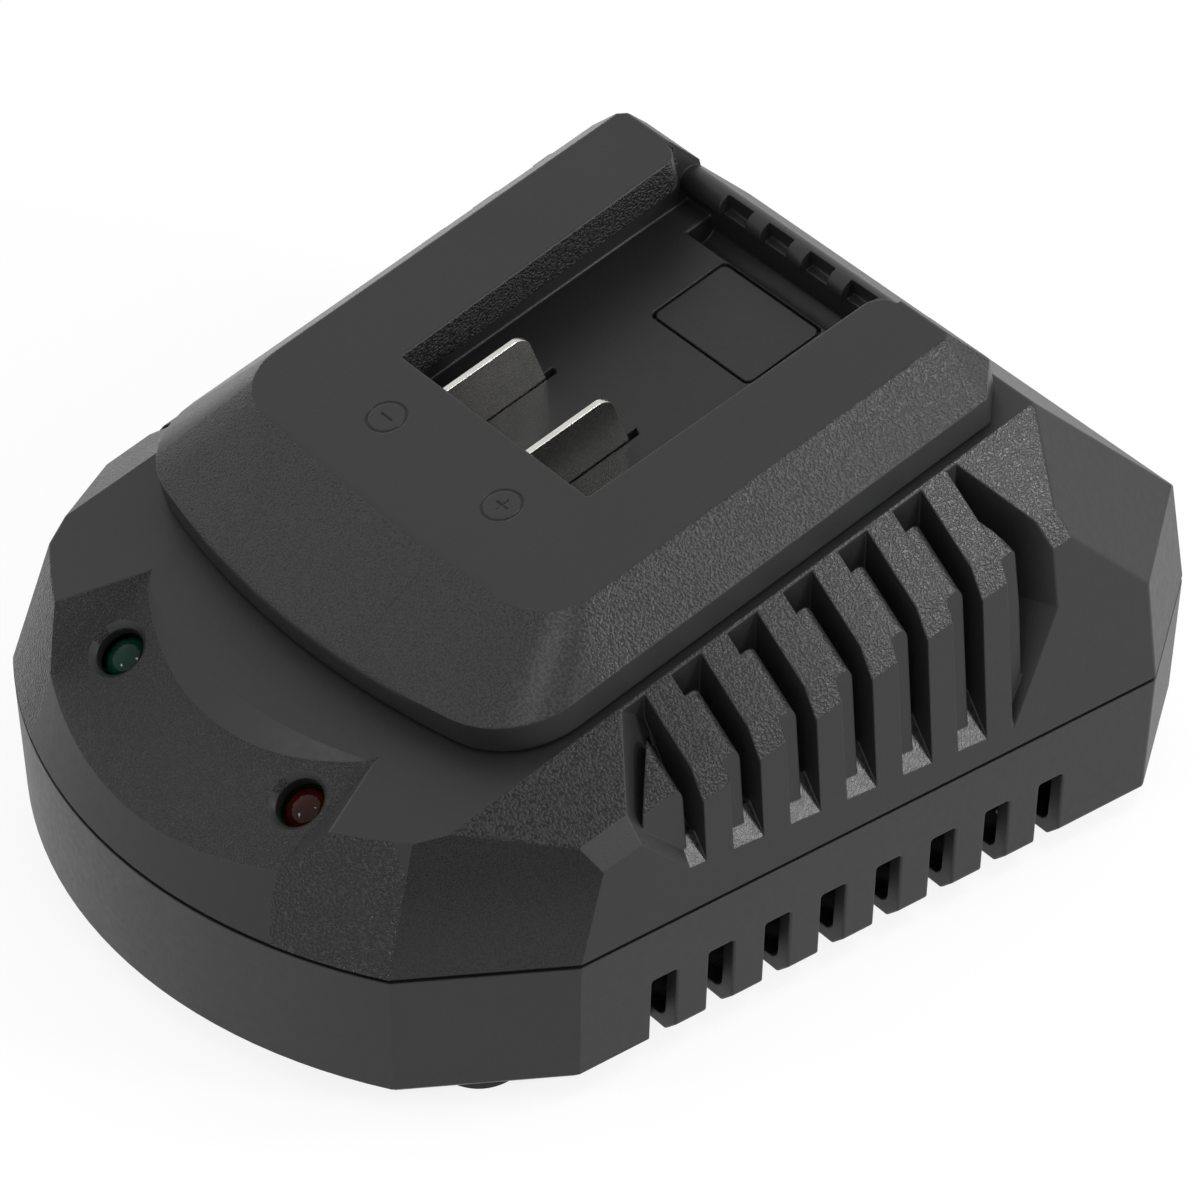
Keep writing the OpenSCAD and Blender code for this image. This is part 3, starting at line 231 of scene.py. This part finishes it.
def soft_front(tree, vector, settings):
    """Normals of the dock: well rounded at its front crease, crisp elsewhere."""
    mix = tree.nodes.new("ShaderNodeMix")
    mix.data_type = "VECTOR"
    ends = [k for k in mix.inputs if k.type == "VECTOR"][-2:]
    ahead = add_fade(tree, vector, "Y", CREASE_START, CREASE_END)
    across = tree.nodes.new("ShaderNodeMath")
    across.operation = "MULTIPLY"
    for side, socket in ((1, across.inputs[0]), (-1, across.inputs[1])):
        start, end = side * CREASE_SIDE_START, side * CREASE_SIDE_END
        tree.links.new(add_fade(tree, vector, "X", start, end), socket)
    both = tree.nodes.new("ShaderNodeMath")
    both.operation = "MULTIPLY"
    tree.links.new(ahead, both.inputs[0])
    tree.links.new(across.outputs[0], both.inputs[1])
    tree.links.new(both.outputs[0], mix.inputs["Factor"])
    tree.links.new(soft_edges(tree, settings.edge_radius), ends[0])
    tree.links.new(soft_edges(tree, settings.soft_radius), ends[1])
    return next(k for k in mix.outputs if k.type == "VECTOR")


def painted_pit_shade_and_highlight(tree, color, pebble):
    """The colour with painted shade between the pebbles of the leather grain and a painted
    highlight on their tops.
    """
    mix = tree.nodes.new("ShaderNodeVectorMath")
    mix.operation = "SCALE"
    tree.links.new(color, mix.inputs[0])
    tree.links.new(add_map(tree, pebble, 0.35, 1.8), mix.inputs["Scale"])
    return mix.outputs["Vector"]


def plastic(name, settings, coarse=0.0, grain=1.0, fade=None, base=None, rough=0.44,
            seam_shadow=None, painted_sheen=None):
    """Moulded plastic: fine satin grain, with leather grain where coarse is above 0.

    Across the seam band, a range of heights, the gloss dies away to nothing below: a painted shadow
    of the parting gap. Along the sheen ramp, an axis with a start and end place and the share of
    the gloss at each, the gloss changes: a painted sheen and shade."""
    material, tree, shader, vector = new_material(name)
    color = tinted(tree, vector, settings.tone, 0.05, 60)
    fine_noise = add_noise(tree, vector, 1 / settings.fine_size, 2)
    under = base(tree, vector, settings) if base else soft_edges(tree, settings.edge_radius)
    normal = add_bump(tree, fine_noise, settings.fine_height, 1.0, under)
    if coarse > 0:
        cell = add_noise(tree, vector, 1 / (settings.coarse_size * grain), 1.5, 0.45)
        pebble = add_map(tree, cell, 0, 1, 0.32, 0.68, True)
        height = settings.coarse_height * grain * coarse
        normal = add_bump(tree, pebble, height, 1.0, normal)
        # painted shade in the pits and painted highlight on the tops of the leather grain
        color = painted_pit_shade_and_highlight(tree, color, pebble)
        if fade:
            strength = add_fade(tree, vector, *fade)
            tree.links.new(strength, normal.node.inputs["Strength"])
    tree.links.new(color, shader.inputs["Base Color"])
    patch = add_noise(tree, vector, 900, 3)
    tree.links.new(add_map(tree, patch, rough - 0.03, rough + 0.03, 0.3, 0.7),
                   shader.inputs["Roughness"])
    shader.inputs["Specular IOR Level"].default_value = settings.gloss
    tree.links.new(normal, shader.inputs["Normal"])
    if seam_shadow or painted_sheen:
        # painted sheen and shade: the gloss ramps along an axis
        axis, start, end, first, last = painted_sheen or ("Z", 0, 1, 1, 1)
        gloss = add_map(tree, add_fade(tree, vector, axis, start, end),
                        first * settings.gloss, last * settings.gloss)
        # painted shadow of the parting gap: no gloss below the seam band
        if seam_shadow:
            seam_shadow_gloss = tree.nodes.new("ShaderNodeMath")
            seam_shadow_gloss.operation = "MULTIPLY"
            tree.links.new(gloss, seam_shadow_gloss.inputs[0])
            tree.links.new(add_fade(tree, vector, "Z", *seam_shadow), seam_shadow_gloss.inputs[1])
            gloss = seam_shadow_gloss.outputs[0]
        tree.links.new(gloss, shader.inputs["Specular IOR Level"])
    return material


def metal(name, color, rough, axis=(1, 1, 1), scale=2500, height=0.000004):
    """Metal with a faint grain along one axis."""
    material, tree, shader, vector = new_material(name)
    stretch = tree.nodes.new("ShaderNodeMapping")
    stretch.inputs["Scale"].default_value = axis
    tree.links.new(vector, stretch.inputs["Vector"])
    grain = add_noise(tree, stretch.outputs["Vector"], scale, 3)
    tree.links.new(tinted(tree, vector, color, 0.06, 300), shader.inputs["Base Color"])
    shader.inputs["Metallic"].default_value = 1.0
    tree.links.new(add_map(tree, grain, max(rough - 0.08, 0.03), rough + 0.08, 0.3, 0.7),
                   shader.inputs["Roughness"])
    tree.links.new(add_bump(tree, grain, height), shader.inputs["Normal"])
    return material


def lens_plastic(name, color, deep):
    """Tinted resin of a lamp lens, with clouds of a deeper colour."""
    material, tree, shader, vector = new_material(name)
    split = tree.nodes.new("ShaderNodeMixRGB")
    split.inputs["Color1"].default_value = (*deep, 1)
    split.inputs["Color2"].default_value = (*color, 1)
    cloud = add_noise(tree, vector, 400, 2)
    tree.links.new(add_map(tree, cloud, 0, 1, 0.35, 0.65), split.inputs["Fac"])
    tree.links.new(split.outputs["Color"], shader.inputs["Base Color"])
    tree.links.new(add_map(tree, cloud, 0.04, 0.09), shader.inputs["Roughness"])
    tree.links.new(add_bump(tree, cloud, 0.00001), shader.inputs["Normal"])
    shader.inputs["Specular IOR Level"].default_value = 0.15
    return material


def plain(name, color, rough, scale=800, height=0.00002):
    """Simple finish for the parts inside."""
    material, tree, shader, vector = new_material(name)
    tree.links.new(tinted(tree, vector, color, 0.12, scale / 6), shader.inputs["Base Color"])
    grain = add_noise(tree, vector, scale, 3)
    tree.links.new(add_map(tree, grain, rough - 0.06, rough + 0.06, 0.3, 0.7),
                   shader.inputs["Roughness"])
    tree.links.new(add_bump(tree, grain, height), shader.inputs["Normal"])
    return material


# ---------------------------------------------------------------- meshes

def merged_copy(node, name, cuts=()):
    """A copy of a CAD node with its vertices merged and its flat faces joined.

    The faces stay parted at the cuts, places across the width that run through the holes."""
    mesh = NODES[node].data.copy()
    mesh.name = name
    mesh.materials.clear()
    bm = bmesh.new()
    bm.from_mesh(mesh)
    bmesh.ops.remove_doubles(bm, verts=bm.verts, dist=0.000004)
    for x in cuts:
        bmesh.ops.bisect_plane(bm, geom=[*bm.verts, *bm.edges, *bm.faces], dist=0.000001,
                               plane_co=(x, 0, 0), plane_no=(1, 0, 0))
    for f in bm.faces:
        f.material_index = sum(f.calc_center_median().x > x for x in cuts)
    bmesh.ops.dissolve_limit(bm, angle_limit=FLAT_ANGLE, verts=bm.verts,
                             edges=bm.edges, use_dissolve_boundaries=False,
                             delimit={"MATERIAL"})
    for f in bm.faces:
        f.material_index = 0
    bm.normal_update()
    obj = bpy.data.objects.new(name, mesh)
    bpy.context.scene.collection.objects.link(obj)
    return obj, bm


def turns(e, angle):
    """Tells whether the two faces beside an edge meet at more than an angle."""
    return len(e.link_faces) == 2 and e.calc_face_angle(0) > angle


def flat_outline(face):
    """The corners of a face in its own plane, counter-clockwise."""
    x = (face.loops[0].link_loop_next.vert.co - face.loops[0].vert.co).normalized()
    y = face.normal.cross(x)
    return [Vector((l.vert.co.dot(x), l.vert.co.dot(y))) for l in face.loops]


def corner_share(a, b, c):
    """How much of an edge a bevel uses up at the corner b, for each unit of its radius."""
    u, v = a - b, c - b
    turn = math.atan2(v.x * u.y - v.y * u.x, u.dot(v)) % (2 * math.pi)
    if turn > math.radians(172):
        return 0
    return 1 / math.tan(turn / 2)


def room_ahead(points, i, place, reach):
    """Distance from a place on edge i, straight into the face, to the next edge."""
    count = len(points)
    a, b = points[i], points[(i + 1) % count]
    way = (b - a).normalized()
    inward = Vector((-way.y, way.x))
    start = a.lerp(b, place)
    best = reach
    for k in range(count):
        if (k - i) % count in (0, 1, count - 1):
            continue
        p, q = points[k] - start, points[(k + 1) % count] - start
        along_p, along_q = p.dot(way), q.dot(way)
        if (along_p > 0) == (along_q > 0):
            continue
        t = along_p / (along_p - along_q)
        depth = p.dot(inward) * (1 - t) + q.dot(inward) * t
        if 0 < depth < best:
            best = depth
    return best


def slide_limit(a, b, c, longest):
    """The largest radius along b-c whose corner slides along the flat edge b-a in reach."""
    u, v = a - b, c - b
    if u.dot(v) < 0:
        return longest
    lean = abs(v.x * u.y - v.y * u.x) / (u.length * v.length)
    return min(0.45 * u.length, longest) * lean


def free_radii(bm, reach, angle):
    """The largest radius each edge can carry inside the two faces beside it."""
    free = {e: reach for e in bm.edges}
    for face in bm.faces:
        points = flat_outline(face)
        edges = [l.edge for l in face.loops]
        count = len(points)
        shares = [corner_share(points[i - 1], points[i], points[(i + 1) % count])
                  for i in range(count)]
        for i, e in enumerate(edges):
            if not turns(e, angle):
                after, before = edges[(i + 1) % count], edges[i - 1]
                p, q = points[i], points[(i + 1) % count]
                free[after] = min(free[after],
                                  slide_limit(p, q, points[(i + 2) % count], reach))
                free[before] = min(free[before], slide_limit(q, p, points[i - 1], reach))
                continue
            room = min(room_ahead(points, i, place, reach / 0.4) for place in (0.15, 0.5, 0.85))
            free[e] = min(free[e], 0.4 * room)
            used = shares[i] + shares[(i + 1) % count]
            if used > 0.1:
                limit = 0.85 * e.calc_length() / used
                for k in (i - 1, i, (i + 1) % count):
                    free[edges[k]] = min(free[edges[k]], limit)
    return free


def runs_on(e, vert, others):
    """The edges that carry an edge on past one of its ends in nearly the same direction."""
    way = (vert.co - e.other_vert(vert).co).normalized()
    return [k for k in vert.link_edges if k != e and k in others
            and way.dot((k.other_vert(vert).co - vert.co).normalized()) > 0.86]


def even_radii(radii):
    """Gives every run of edges the smallest radius found along it."""
    left = set(radii)
    while left:
        run = {left.pop()}
        ends = list(run)
        while ends:
            e = ends.pop()
            for k in (k for v in e.verts for k in runs_on(e, v, radii)):
                if k not in run:
                    run.add(k)
                    ends.append(k)
        left -= run
        least = min(radii[e] for e in run)
        radii.update((e, least) for e in run)


def weigh_edges(bm, settings, radius_of):
    """Gives each sharp edge its bevel weight: its own radius over the general radius."""
    layer = bm.edges.layers.float.new("bevel_weight_edge")
    free = free_radii(bm, settings.edge_radius, settings.edge_angle)
    radii = {e: min(radius_of(e), free[e])
             for e in bm.edges if turns(e, settings.edge_angle)}
    even_radii(radii)
    for e in bm.edges:
        if radii.get(e, 0) > LEAST_RADIUS:
            e[layer] = radii[e] / settings.edge_radius
        elif turns(e, CURVE_ANGLE):
            e.smooth = False


def settle(obj, bm, settings, body, node):
    """Writes the mesh back, rounds and shades it and hangs the piece on its body."""
    bm.normal_update()
    for f in bm.faces:
        f.smooth = any(turns(e, FLAT_ANGLE) and not turns(e, CURVE_ANGLE) for e in f.edges)
    bm.to_mesh(obj.data)
    bm.free()
    bevel = obj.modifiers.new("rounded edges", "BEVEL")
    bevel.limit_method = "WEIGHT"
    bevel.width = settings.edge_radius
    bevel.segments = settings.edge_segments
    bevel.use_clamp_overlap = False
    bevel.harden_normals = False
    bevel.miter_outer = "MITER_ARC"
    weighted = obj.modifiers.new("weighted normals", "WEIGHTED_NORMAL")
    weighted.keep_sharp = True
    weighted.weight = 100
    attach(obj, body)
    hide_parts(node)


SMOOTH, LEATHER, FINE, STRONG, SILL, MATT_SHADED = range(6)
RAIL, FRONT = FINE, STRONG
DECK = Vector((0, -math.sin(TILT), math.cos(TILT)))
SHOULDER = Vector((0.66, -SLOPE, 1)).normalized()
PANEL_SIDE = Vector((0.6, -0.42, 0.68)).normalized()
CORNER = Vector((0.82, -0.52, 0.26)).normalized()


def one_side(n):
    """The normal, mirrored to the right hand side."""
    return Vector((abs(n.x), n.y, n.z))


def beside_grille(point, inner):
    """Tells whether a point in millimetres lies in a grille, outward of a distance."""
    return abs(point.x) > inner and GRILLE_FRONT < point.y < GRILLE_REAR


def upper_radius(e):
    """Finer rounding inside the grille recesses."""
    middle = (e.verts[0].co + e.verts[1].co) / 2 / MM
    if beside_grille(middle, RECESS_INNER) and middle.z > 27.5:
        return RECESS_RADIUS
    return EDGE_RADIUS


def dock_radius(e):
    """Finest rounding on the polarity marks."""
    middle = dock_local((e.verts[0].co + e.verts[1].co) / 2)
    if middle.z > -0.4 and abs(middle.x) < 16 and -12 < middle.y < -1:
        return MARK_RADIUS
    return EDGE_RADIUS


def upper_face_kind(face):
    """Finish of a face of the upper shell."""
    n = one_side(face.normal)
    c = face.calc_center_median() / MM
    sloping = 0.5 < n.z < 0.95 and abs(n.y) < 0.1
    if sloping and SILL_LOW < c.z < SILL_HIGH and abs(c.x) > SILL_INNER:
        return SILL
    if n.dot(SHOULDER) > 0.8 and beside_grille(c, LEATHER_INNER):
        return LEATHER
    if n.dot(SHOULDER) > 0.985 and abs(c.x) > 39:
        return LEATHER
    if c.y < -47 and abs(c.x) < 25 and n.z > 0.7 and n.y < -0.4:
        return FINE
    if c.y < -46 and abs(c.x) < 30 and n.dot(PANEL_SIDE) > 0.97:
        return FINE
    if c.y < -55 and 24 < abs(c.x) < 40 and n.y < -0.6 and n.z > 0.1:
        return STRONG
    if c.y < -30 and abs(c.x) > 36 and n.dot(CORNER) > 0.985:
        return MATT_SHADED
    return SMOOTH


def dock_face_kind(face):
    """Finish of a face of the dock cover."""
    n = face.normal
    p = dock_local(face.calc_center_median())
    nz = n.dot(DECK)
    if abs(n.x) > 0.3 and 0.3 < nz < 0.95 and abs(p.x) > 26 and p.z > -7:
        return LEATHER
    if 0.8 < nz < 0.975 and p.y < -15 and p.z > -7:
        return FRONT
    if abs(n.x) > 0.9 and 17 < abs(p.x) < 24 and p.z > -5.5 and p.y > -0.1:
        return RAIL
    return SMOOTH


class CHARGER_OT_shells(bpy.types.Operator):
    """Dresses the two shells of the housing"""

    bl_idname = "charger.shells"
    bl_label = "Dress the housing shells"

    def execute(self, context):
        s = context.scene.charger_shell
        seam_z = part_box("upper_shell")[0][2] / MM
        # painted shadow of the parting gap: the upper shell's gloss is nothing up to 0.12 mm above
        # its bottom edge and full from 0.25 mm
        seam_shadow = (seam_z + 0.12, seam_z + 0.25)
        smooth = plastic("housing smooth", s, seam_shadow=seam_shadow)
        lower = plastic("lower housing", s)
        # painted sheen: the leather's gloss grows from 0.55 of full at the front (y -45 mm) to 1.25
        # at the rear (y 30 mm)
        coarse = plastic("housing leather", s, coarse=1.5, rough=0.33,
                         painted_sheen=("Y", -45, 30, 0.55, 1.25))
        fine = plastic("housing fine leather", s, coarse=7.0, grain=0.6)
        strong = plastic("housing strong leather", s, coarse=10.0, rough=0.33)
        sill = plastic("housing sill grain", s, coarse=0.35, rough=0.33)
        # painted shade: the corner facet's gloss falls from 0.7 to 0.35 of full going up from z 24
        # to 38 mm, on top of its grain
        matt_with_painted_shade = plastic("housing matt", s, coarse=2.0, grain=0.35, seam_shadow=seam_shadow,
                       painted_sheen=("Z", 24, 38, 0.7, 0.35))
        lamp_x = sum(c[0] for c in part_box("red_lamp")) / 2
        obj, bm = merged_copy("upper_shell", "upper_housing", (-lamp_x, 0, lamp_x))
        for f in bm.faces:
            f.material_index = upper_face_kind(f)
        weigh_edges(bm, s, upper_radius)
        for m in (smooth, coarse, fine, strong, sill, matt_with_painted_shade):
            obj.data.materials.append(m)
        settle(obj, bm, s, "root", "upper_shell")
        obj, bm = merged_copy("lower_shell", "lower_housing")
        weigh_edges(bm, s, lambda e: s.edge_radius)
        obj.data.materials.append(lower)
        settle(obj, bm, s, "root", "lower_shell")
        return {"FINISHED"}


class CHARGER_OT_dock(bpy.types.Operator):
    """Dresses the battery dock and the blank insert of its channel"""

    bl_idname = "charger.dock"
    bl_label = "Dress the battery dock"

    def execute(self, context):
        s = context.scene.charger_shell
        smooth = plastic("dock smooth", s, base=soft_front)
        coarse = plastic("dock leather", s, coarse=1.8, fade=("Y", GRAIN_START, GRAIN_FULL),
                         rough=0.33)
        rail = plastic("dock fine leather", s, coarse=3.0)
        front = plastic("dock front grain", s, coarse=3.0, grain=0.7, base=soft_front)
        obj, bm = merged_copy("dock_cover", "battery_dock", (-MARK_X, 0, MARK_X))
        for f in bm.faces:
            f.material_index = dock_face_kind(f)
        weigh_edges(bm, s, dock_radius)
        for m in (smooth, coarse, rail, front):
            obj.data.materials.append(m)
        settle(obj, bm, s, "root", "dock_cover")
        obj, bm = merged_copy("channel_insert", "blank_insert")
        weigh_edges(bm, s, lambda e: INSERT_RADIUS)
        obj.data.materials.append(plastic("insert plastic", s))
        settle(obj, bm, s, "root", "channel_insert")
        return {"FINISHED"}


class CHARGER_OT_contacts(bpy.types.Operator):
    """Dresses the contact blades"""

    bl_idname = "charger.contacts"
    bl_label = "Dress the contact blades"

    def execute(self, context):
        s = context.scene.charger_shell
        nickel = metal("nickel plate", NICKEL, 0.26, axis=(1, 1, 6))
        for node, name in (("negative_blade", "minus_blade"), ("positive_blade", "plus_blade")):
            obj, bm = merged_copy(node, name)
            weigh_edges(bm, s, lambda e: BLADE_RADIUS)
            obj.data.materials.append(nickel)
            settle(obj, bm, s, "root", node)
        return {"FINISHED"}


class CHARGER_OT_lamps(bpy.types.Operator):
    """Colours the two lamp lenses"""

    bl_idname = "charger.lamps"
    bl_label = "Dress the lamps"

    def execute(self, context):
        looks = (("green_lamp", (0.002, 0.022, 0.014), (0.001, 0.009, 0.006), "green_lens"),
                 ("red_lamp", (0.03, 0.003, 0.002), (0.013, 0.001, 0.001), "red_lens"))
        for node, color, deep, slot in looks:
            obj = NODES[node]
            obj.data.materials.clear()
            obj.data.materials.append(lens_plastic(node + " resin", color, deep))
        return {"FINISHED"}


class CHARGER_OT_inside(bpy.types.Operator):
    """Finishes the parts inside, the feet, the screws and the inlet"""

    bl_idname = "charger.inside"
    bl_label = "Dress the inner parts"

    def execute(self, context):
        dark = plain("dark moulding", (0.02, 0.02, 0.022), 0.5)
        board = plain("circuit board", (0.02, 0.09, 0.035), 0.35, 400)
        copper = metal("enamelled wire", (0.5, 0.25, 0.08), 0.35, axis=(1, 1, 9))
        sleeve = plain("capacitor sleeve", (0.02, 0.03, 0.07), 0.25, 500)
        ferrite = plain("ferrite", (0.03, 0.03, 0.033), 0.6, 2500)
        bare = metal("bare aluminium", (0.6, 0.61, 0.62), 0.38, axis=(1, 1, 8))
        steel = metal("zinc plated steel", (0.5, 0.51, 0.53), 0.34)
        nickel = metal("pin nickel", NICKEL, 0.28)
        rubber = plain("foot rubber", (0.012, 0.012, 0.012), 0.8, 1500)
        looks = {
            "terminal_block": (dark, "dark_plastic"), "power_transistor": (dark, "dark_plastic"),
            "bridge_rectifier": (dark, "dark_plastic"), "mains_inlet": (dark, "dark_plastic"),
            "lamp_board": (board, "board_green"), "main_board": (board, "board_green"),
            "transformer_core": (ferrite, "ferrite"), "transformer_coil": (copper, "copper_wire"),
            "choke_coil": (copper, "copper_wire"), "mains_capacitor": (sleeve, "capacitor_sleeve"),
            "output_capacitor": (sleeve, "capacitor_sleeve"), "heat_sink": (bare, "bare_aluminium"),
            "fuse": (steel, "fuse_glass"), "inlet_pins": (nickel, "blade_metal"),
            "rubber_feet": (rubber, "foot_rubber"), "housing_screws": (steel, "screw_steel"),
            "board_screws": (steel, "screw_steel"), "dock_screws": (steel, "screw_steel"),
        }
        for node, (material, slot) in looks.items():
            obj = NODES[node]
            obj.data.materials.clear()
            obj.data.materials.append(material)
        return {"FINISHED"}


# ---------------------------------------------------------------- stage

def area_light(name, target, heading, rise, distance, size, power):
    """A soft light that looks at the target from that heading and rise, in degrees."""
    a, e = math.radians(heading), math.radians(rise)
    back = Vector((math.cos(a) * math.cos(e), math.sin(a) * math.cos(e), math.sin(e)))
    data = bpy.data.lights.new(name, "AREA")
    data.shape = "RECTANGLE"
    data.size, data.size_y = size
    data.energy = power
    obj = bpy.data.objects.new(name, data)
    obj.location = target + back * distance
    obj.rotation_euler = back.to_track_quat("Z", "Y").to_euler()
    obj.visible_camera = False
    bpy.context.scene.collection.objects.link(obj)


class CHARGER_OT_stage(bpy.types.Operator):
    """Sets up the pale floor, the soft light and the camera"""

    bl_idname = "charger.stage"
    bl_label = "Set up the studio"

    def execute(self, context):
        s = context.scene.charger_stage
        scene = context.scene
        scene.view_settings.view_transform = "Standard"
        make_floor(s)
        make_world(s)
        middle = Vector((0, 0, 35)) * MM
        rear_shoulder = Vector((44, 36, 57)) * MM
        lamps = Vector((0, -56, 33)) * MM
        area_light("side light", middle, 29, 22, 0.6, (0.1, 0.1), s.side_power)
        area_light("top light", rear_shoulder, 28, 62, 0.13, (0.03, 0.03), s.top_power)
        area_light("left light", middle, 160, 6, 0.6, (0.5, 0.3), s.left_power)
        area_light("front light", lamps, -102, 27, 0.2, (0.028, 0.028), s.front_power)
        area_light("high light", lamps, -18, 73, 0.2, (0.02, 0.02), s.front_power / 2)
        make_camera(s)
        return {"FINISHED"}


def seen_directly(tree):
    """A value of 1 for rays from the camera and for mirrored and passing rays."""
    path = tree.nodes.new("ShaderNodeLightPath")
    seen = path.outputs["Is Camera Ray"]
    for ray in ("Is Glossy Ray", "Is Transmission Ray"):
        larger = tree.nodes.new("ShaderNodeMath")
        larger.operation = "MAXIMUM"
        tree.links.new(seen, larger.inputs[0])
        tree.links.new(path.outputs[ray], larger.inputs[1])
        seen = larger.outputs[0]
    return seen


def mix_shaders(tree, factor, first, second):
    """Blends two shaders by a number or a node's value."""
    mix = tree.nodes.new("ShaderNodeMixShader")
    if isinstance(factor, float):
        mix.inputs["Fac"].default_value = factor
    else:
        tree.links.new(factor, mix.inputs["Fac"])
    tree.links.new(first, mix.inputs[1])
    tree.links.new(second, mix.inputs[2])
    return mix.outputs[0]


def make_floor(s):
    """A white floor that glows for the eye and keeps a share of its shadow."""
    bm = bmesh.new()
    bmesh.ops.create_grid(bm, x_segments=1, y_segments=1, size=3.0)
    mesh = bpy.data.meshes.new("floor")
    bm.to_mesh(mesh)
    bm.free()
    floor = bpy.data.objects.new("floor", mesh)
    bpy.context.scene.collection.objects.link(floor)
    material, tree, shader, vector = new_material("floor paper")
    shader.inputs["Roughness"].default_value = 0.9
    tree.links.new(tinted(tree, vector, PAPER, 0.01, 3), shader.inputs["Base Color"])
    out = next(n for n in tree.nodes if n.type == "OUTPUT_MATERIAL")
    glow = tree.nodes.new("ShaderNodeEmission")
    glow.inputs["Strength"].default_value = s.backdrop
    shaded = mix_shaders(tree, 1 - s.shade, shader.outputs[0], glow.outputs[0])
    both = mix_shaders(tree, seen_directly(tree), shader.outputs[0], shaded)
    tree.links.new(both, out.inputs["Surface"])
    mesh.materials.append(material)


def make_world(s):
    """White surroundings with a plain fill light."""
    world = bpy.data.worlds.new("studio")
    bpy.context.scene.world = world
    world.use_nodes = True
    tree = world.node_tree
    tree.nodes.clear()
    out = tree.nodes.new("ShaderNodeOutputWorld")
    fill = tree.nodes.new("ShaderNodeBackground")
    fill.inputs["Color"].default_value = WHITE
    fill.inputs["Strength"].default_value = s.fill
    seen = tree.nodes.new("ShaderNodeBackground")
    seen.inputs["Color"].default_value = WHITE
    seen.inputs["Strength"].default_value = s.backdrop
    both = mix_shaders(tree, seen_directly(tree), fill.outputs[0], seen.outputs[0])
    tree.links.new(both, out.inputs["Surface"])


def make_camera(s):
    """A long lens that looks down on the front right corner."""
    data = bpy.data.cameras.new("camera")
    data.lens = s.lens
    data.sensor_width = 36
    data.clip_start, data.clip_end = 0.05, 20
    camera = bpy.data.objects.new("camera", data)
    up = CAMERA_BACK.cross(CAMERA_RIGHT)
    turn = Matrix((CAMERA_RIGHT, up, CAMERA_BACK)).transposed().to_4x4()
    camera.matrix_world = Matrix.Translation(CAMERA_PLACE) @ turn
    bpy.context.scene.collection.objects.link(camera)
    bpy.context.scene.camera = camera


class CHARGER_PT_panel(bpy.types.Panel):
    """Buttons for each group of pieces"""

    bl_label = "Battery charger"
    bl_idname = "CHARGER_PT_panel"
    bl_space_type = "VIEW_3D"
    bl_region_type = "UI"
    bl_category = "Charger"

    def draw(self, context):
        layout = self.layout
        for op in STEPS:
            layout.operator(op.bl_idname)
        for name in ChargerShellSettings.__annotations__:
            layout.prop(context.scene.charger_shell, name)
        for name in ChargerStageSettings.__annotations__:
            layout.prop(context.scene.charger_stage, name)


STEPS = (CHARGER_OT_shells, CHARGER_OT_dock, CHARGER_OT_contacts, CHARGER_OT_lamps,
         CHARGER_OT_inside, CHARGER_OT_stage)
CLASSES = (ChargerShellSettings, ChargerStageSettings, *STEPS, CHARGER_PT_panel)


def register():
    for cls in CLASSES:
        bpy.utils.register_class(cls)
    bpy.types.Scene.charger_shell = bpy.props.PointerProperty(type=ChargerShellSettings)
    bpy.types.Scene.charger_stage = bpy.props.PointerProperty(type=ChargerStageSettings)


def unregister():
    del bpy.types.Scene.charger_stage
    del bpy.types.Scene.charger_shell
    for cls in reversed(CLASSES):
        bpy.utils.unregister_class(cls)


def main():
    register()
    bpy.ops.charger.shells()
    bpy.ops.charger.dock()
    bpy.ops.charger.contacts()
    bpy.ops.charger.lamps()
    bpy.ops.charger.inside()
    bpy.ops.charger.stage()


if __name__ == "__main__":
    main()
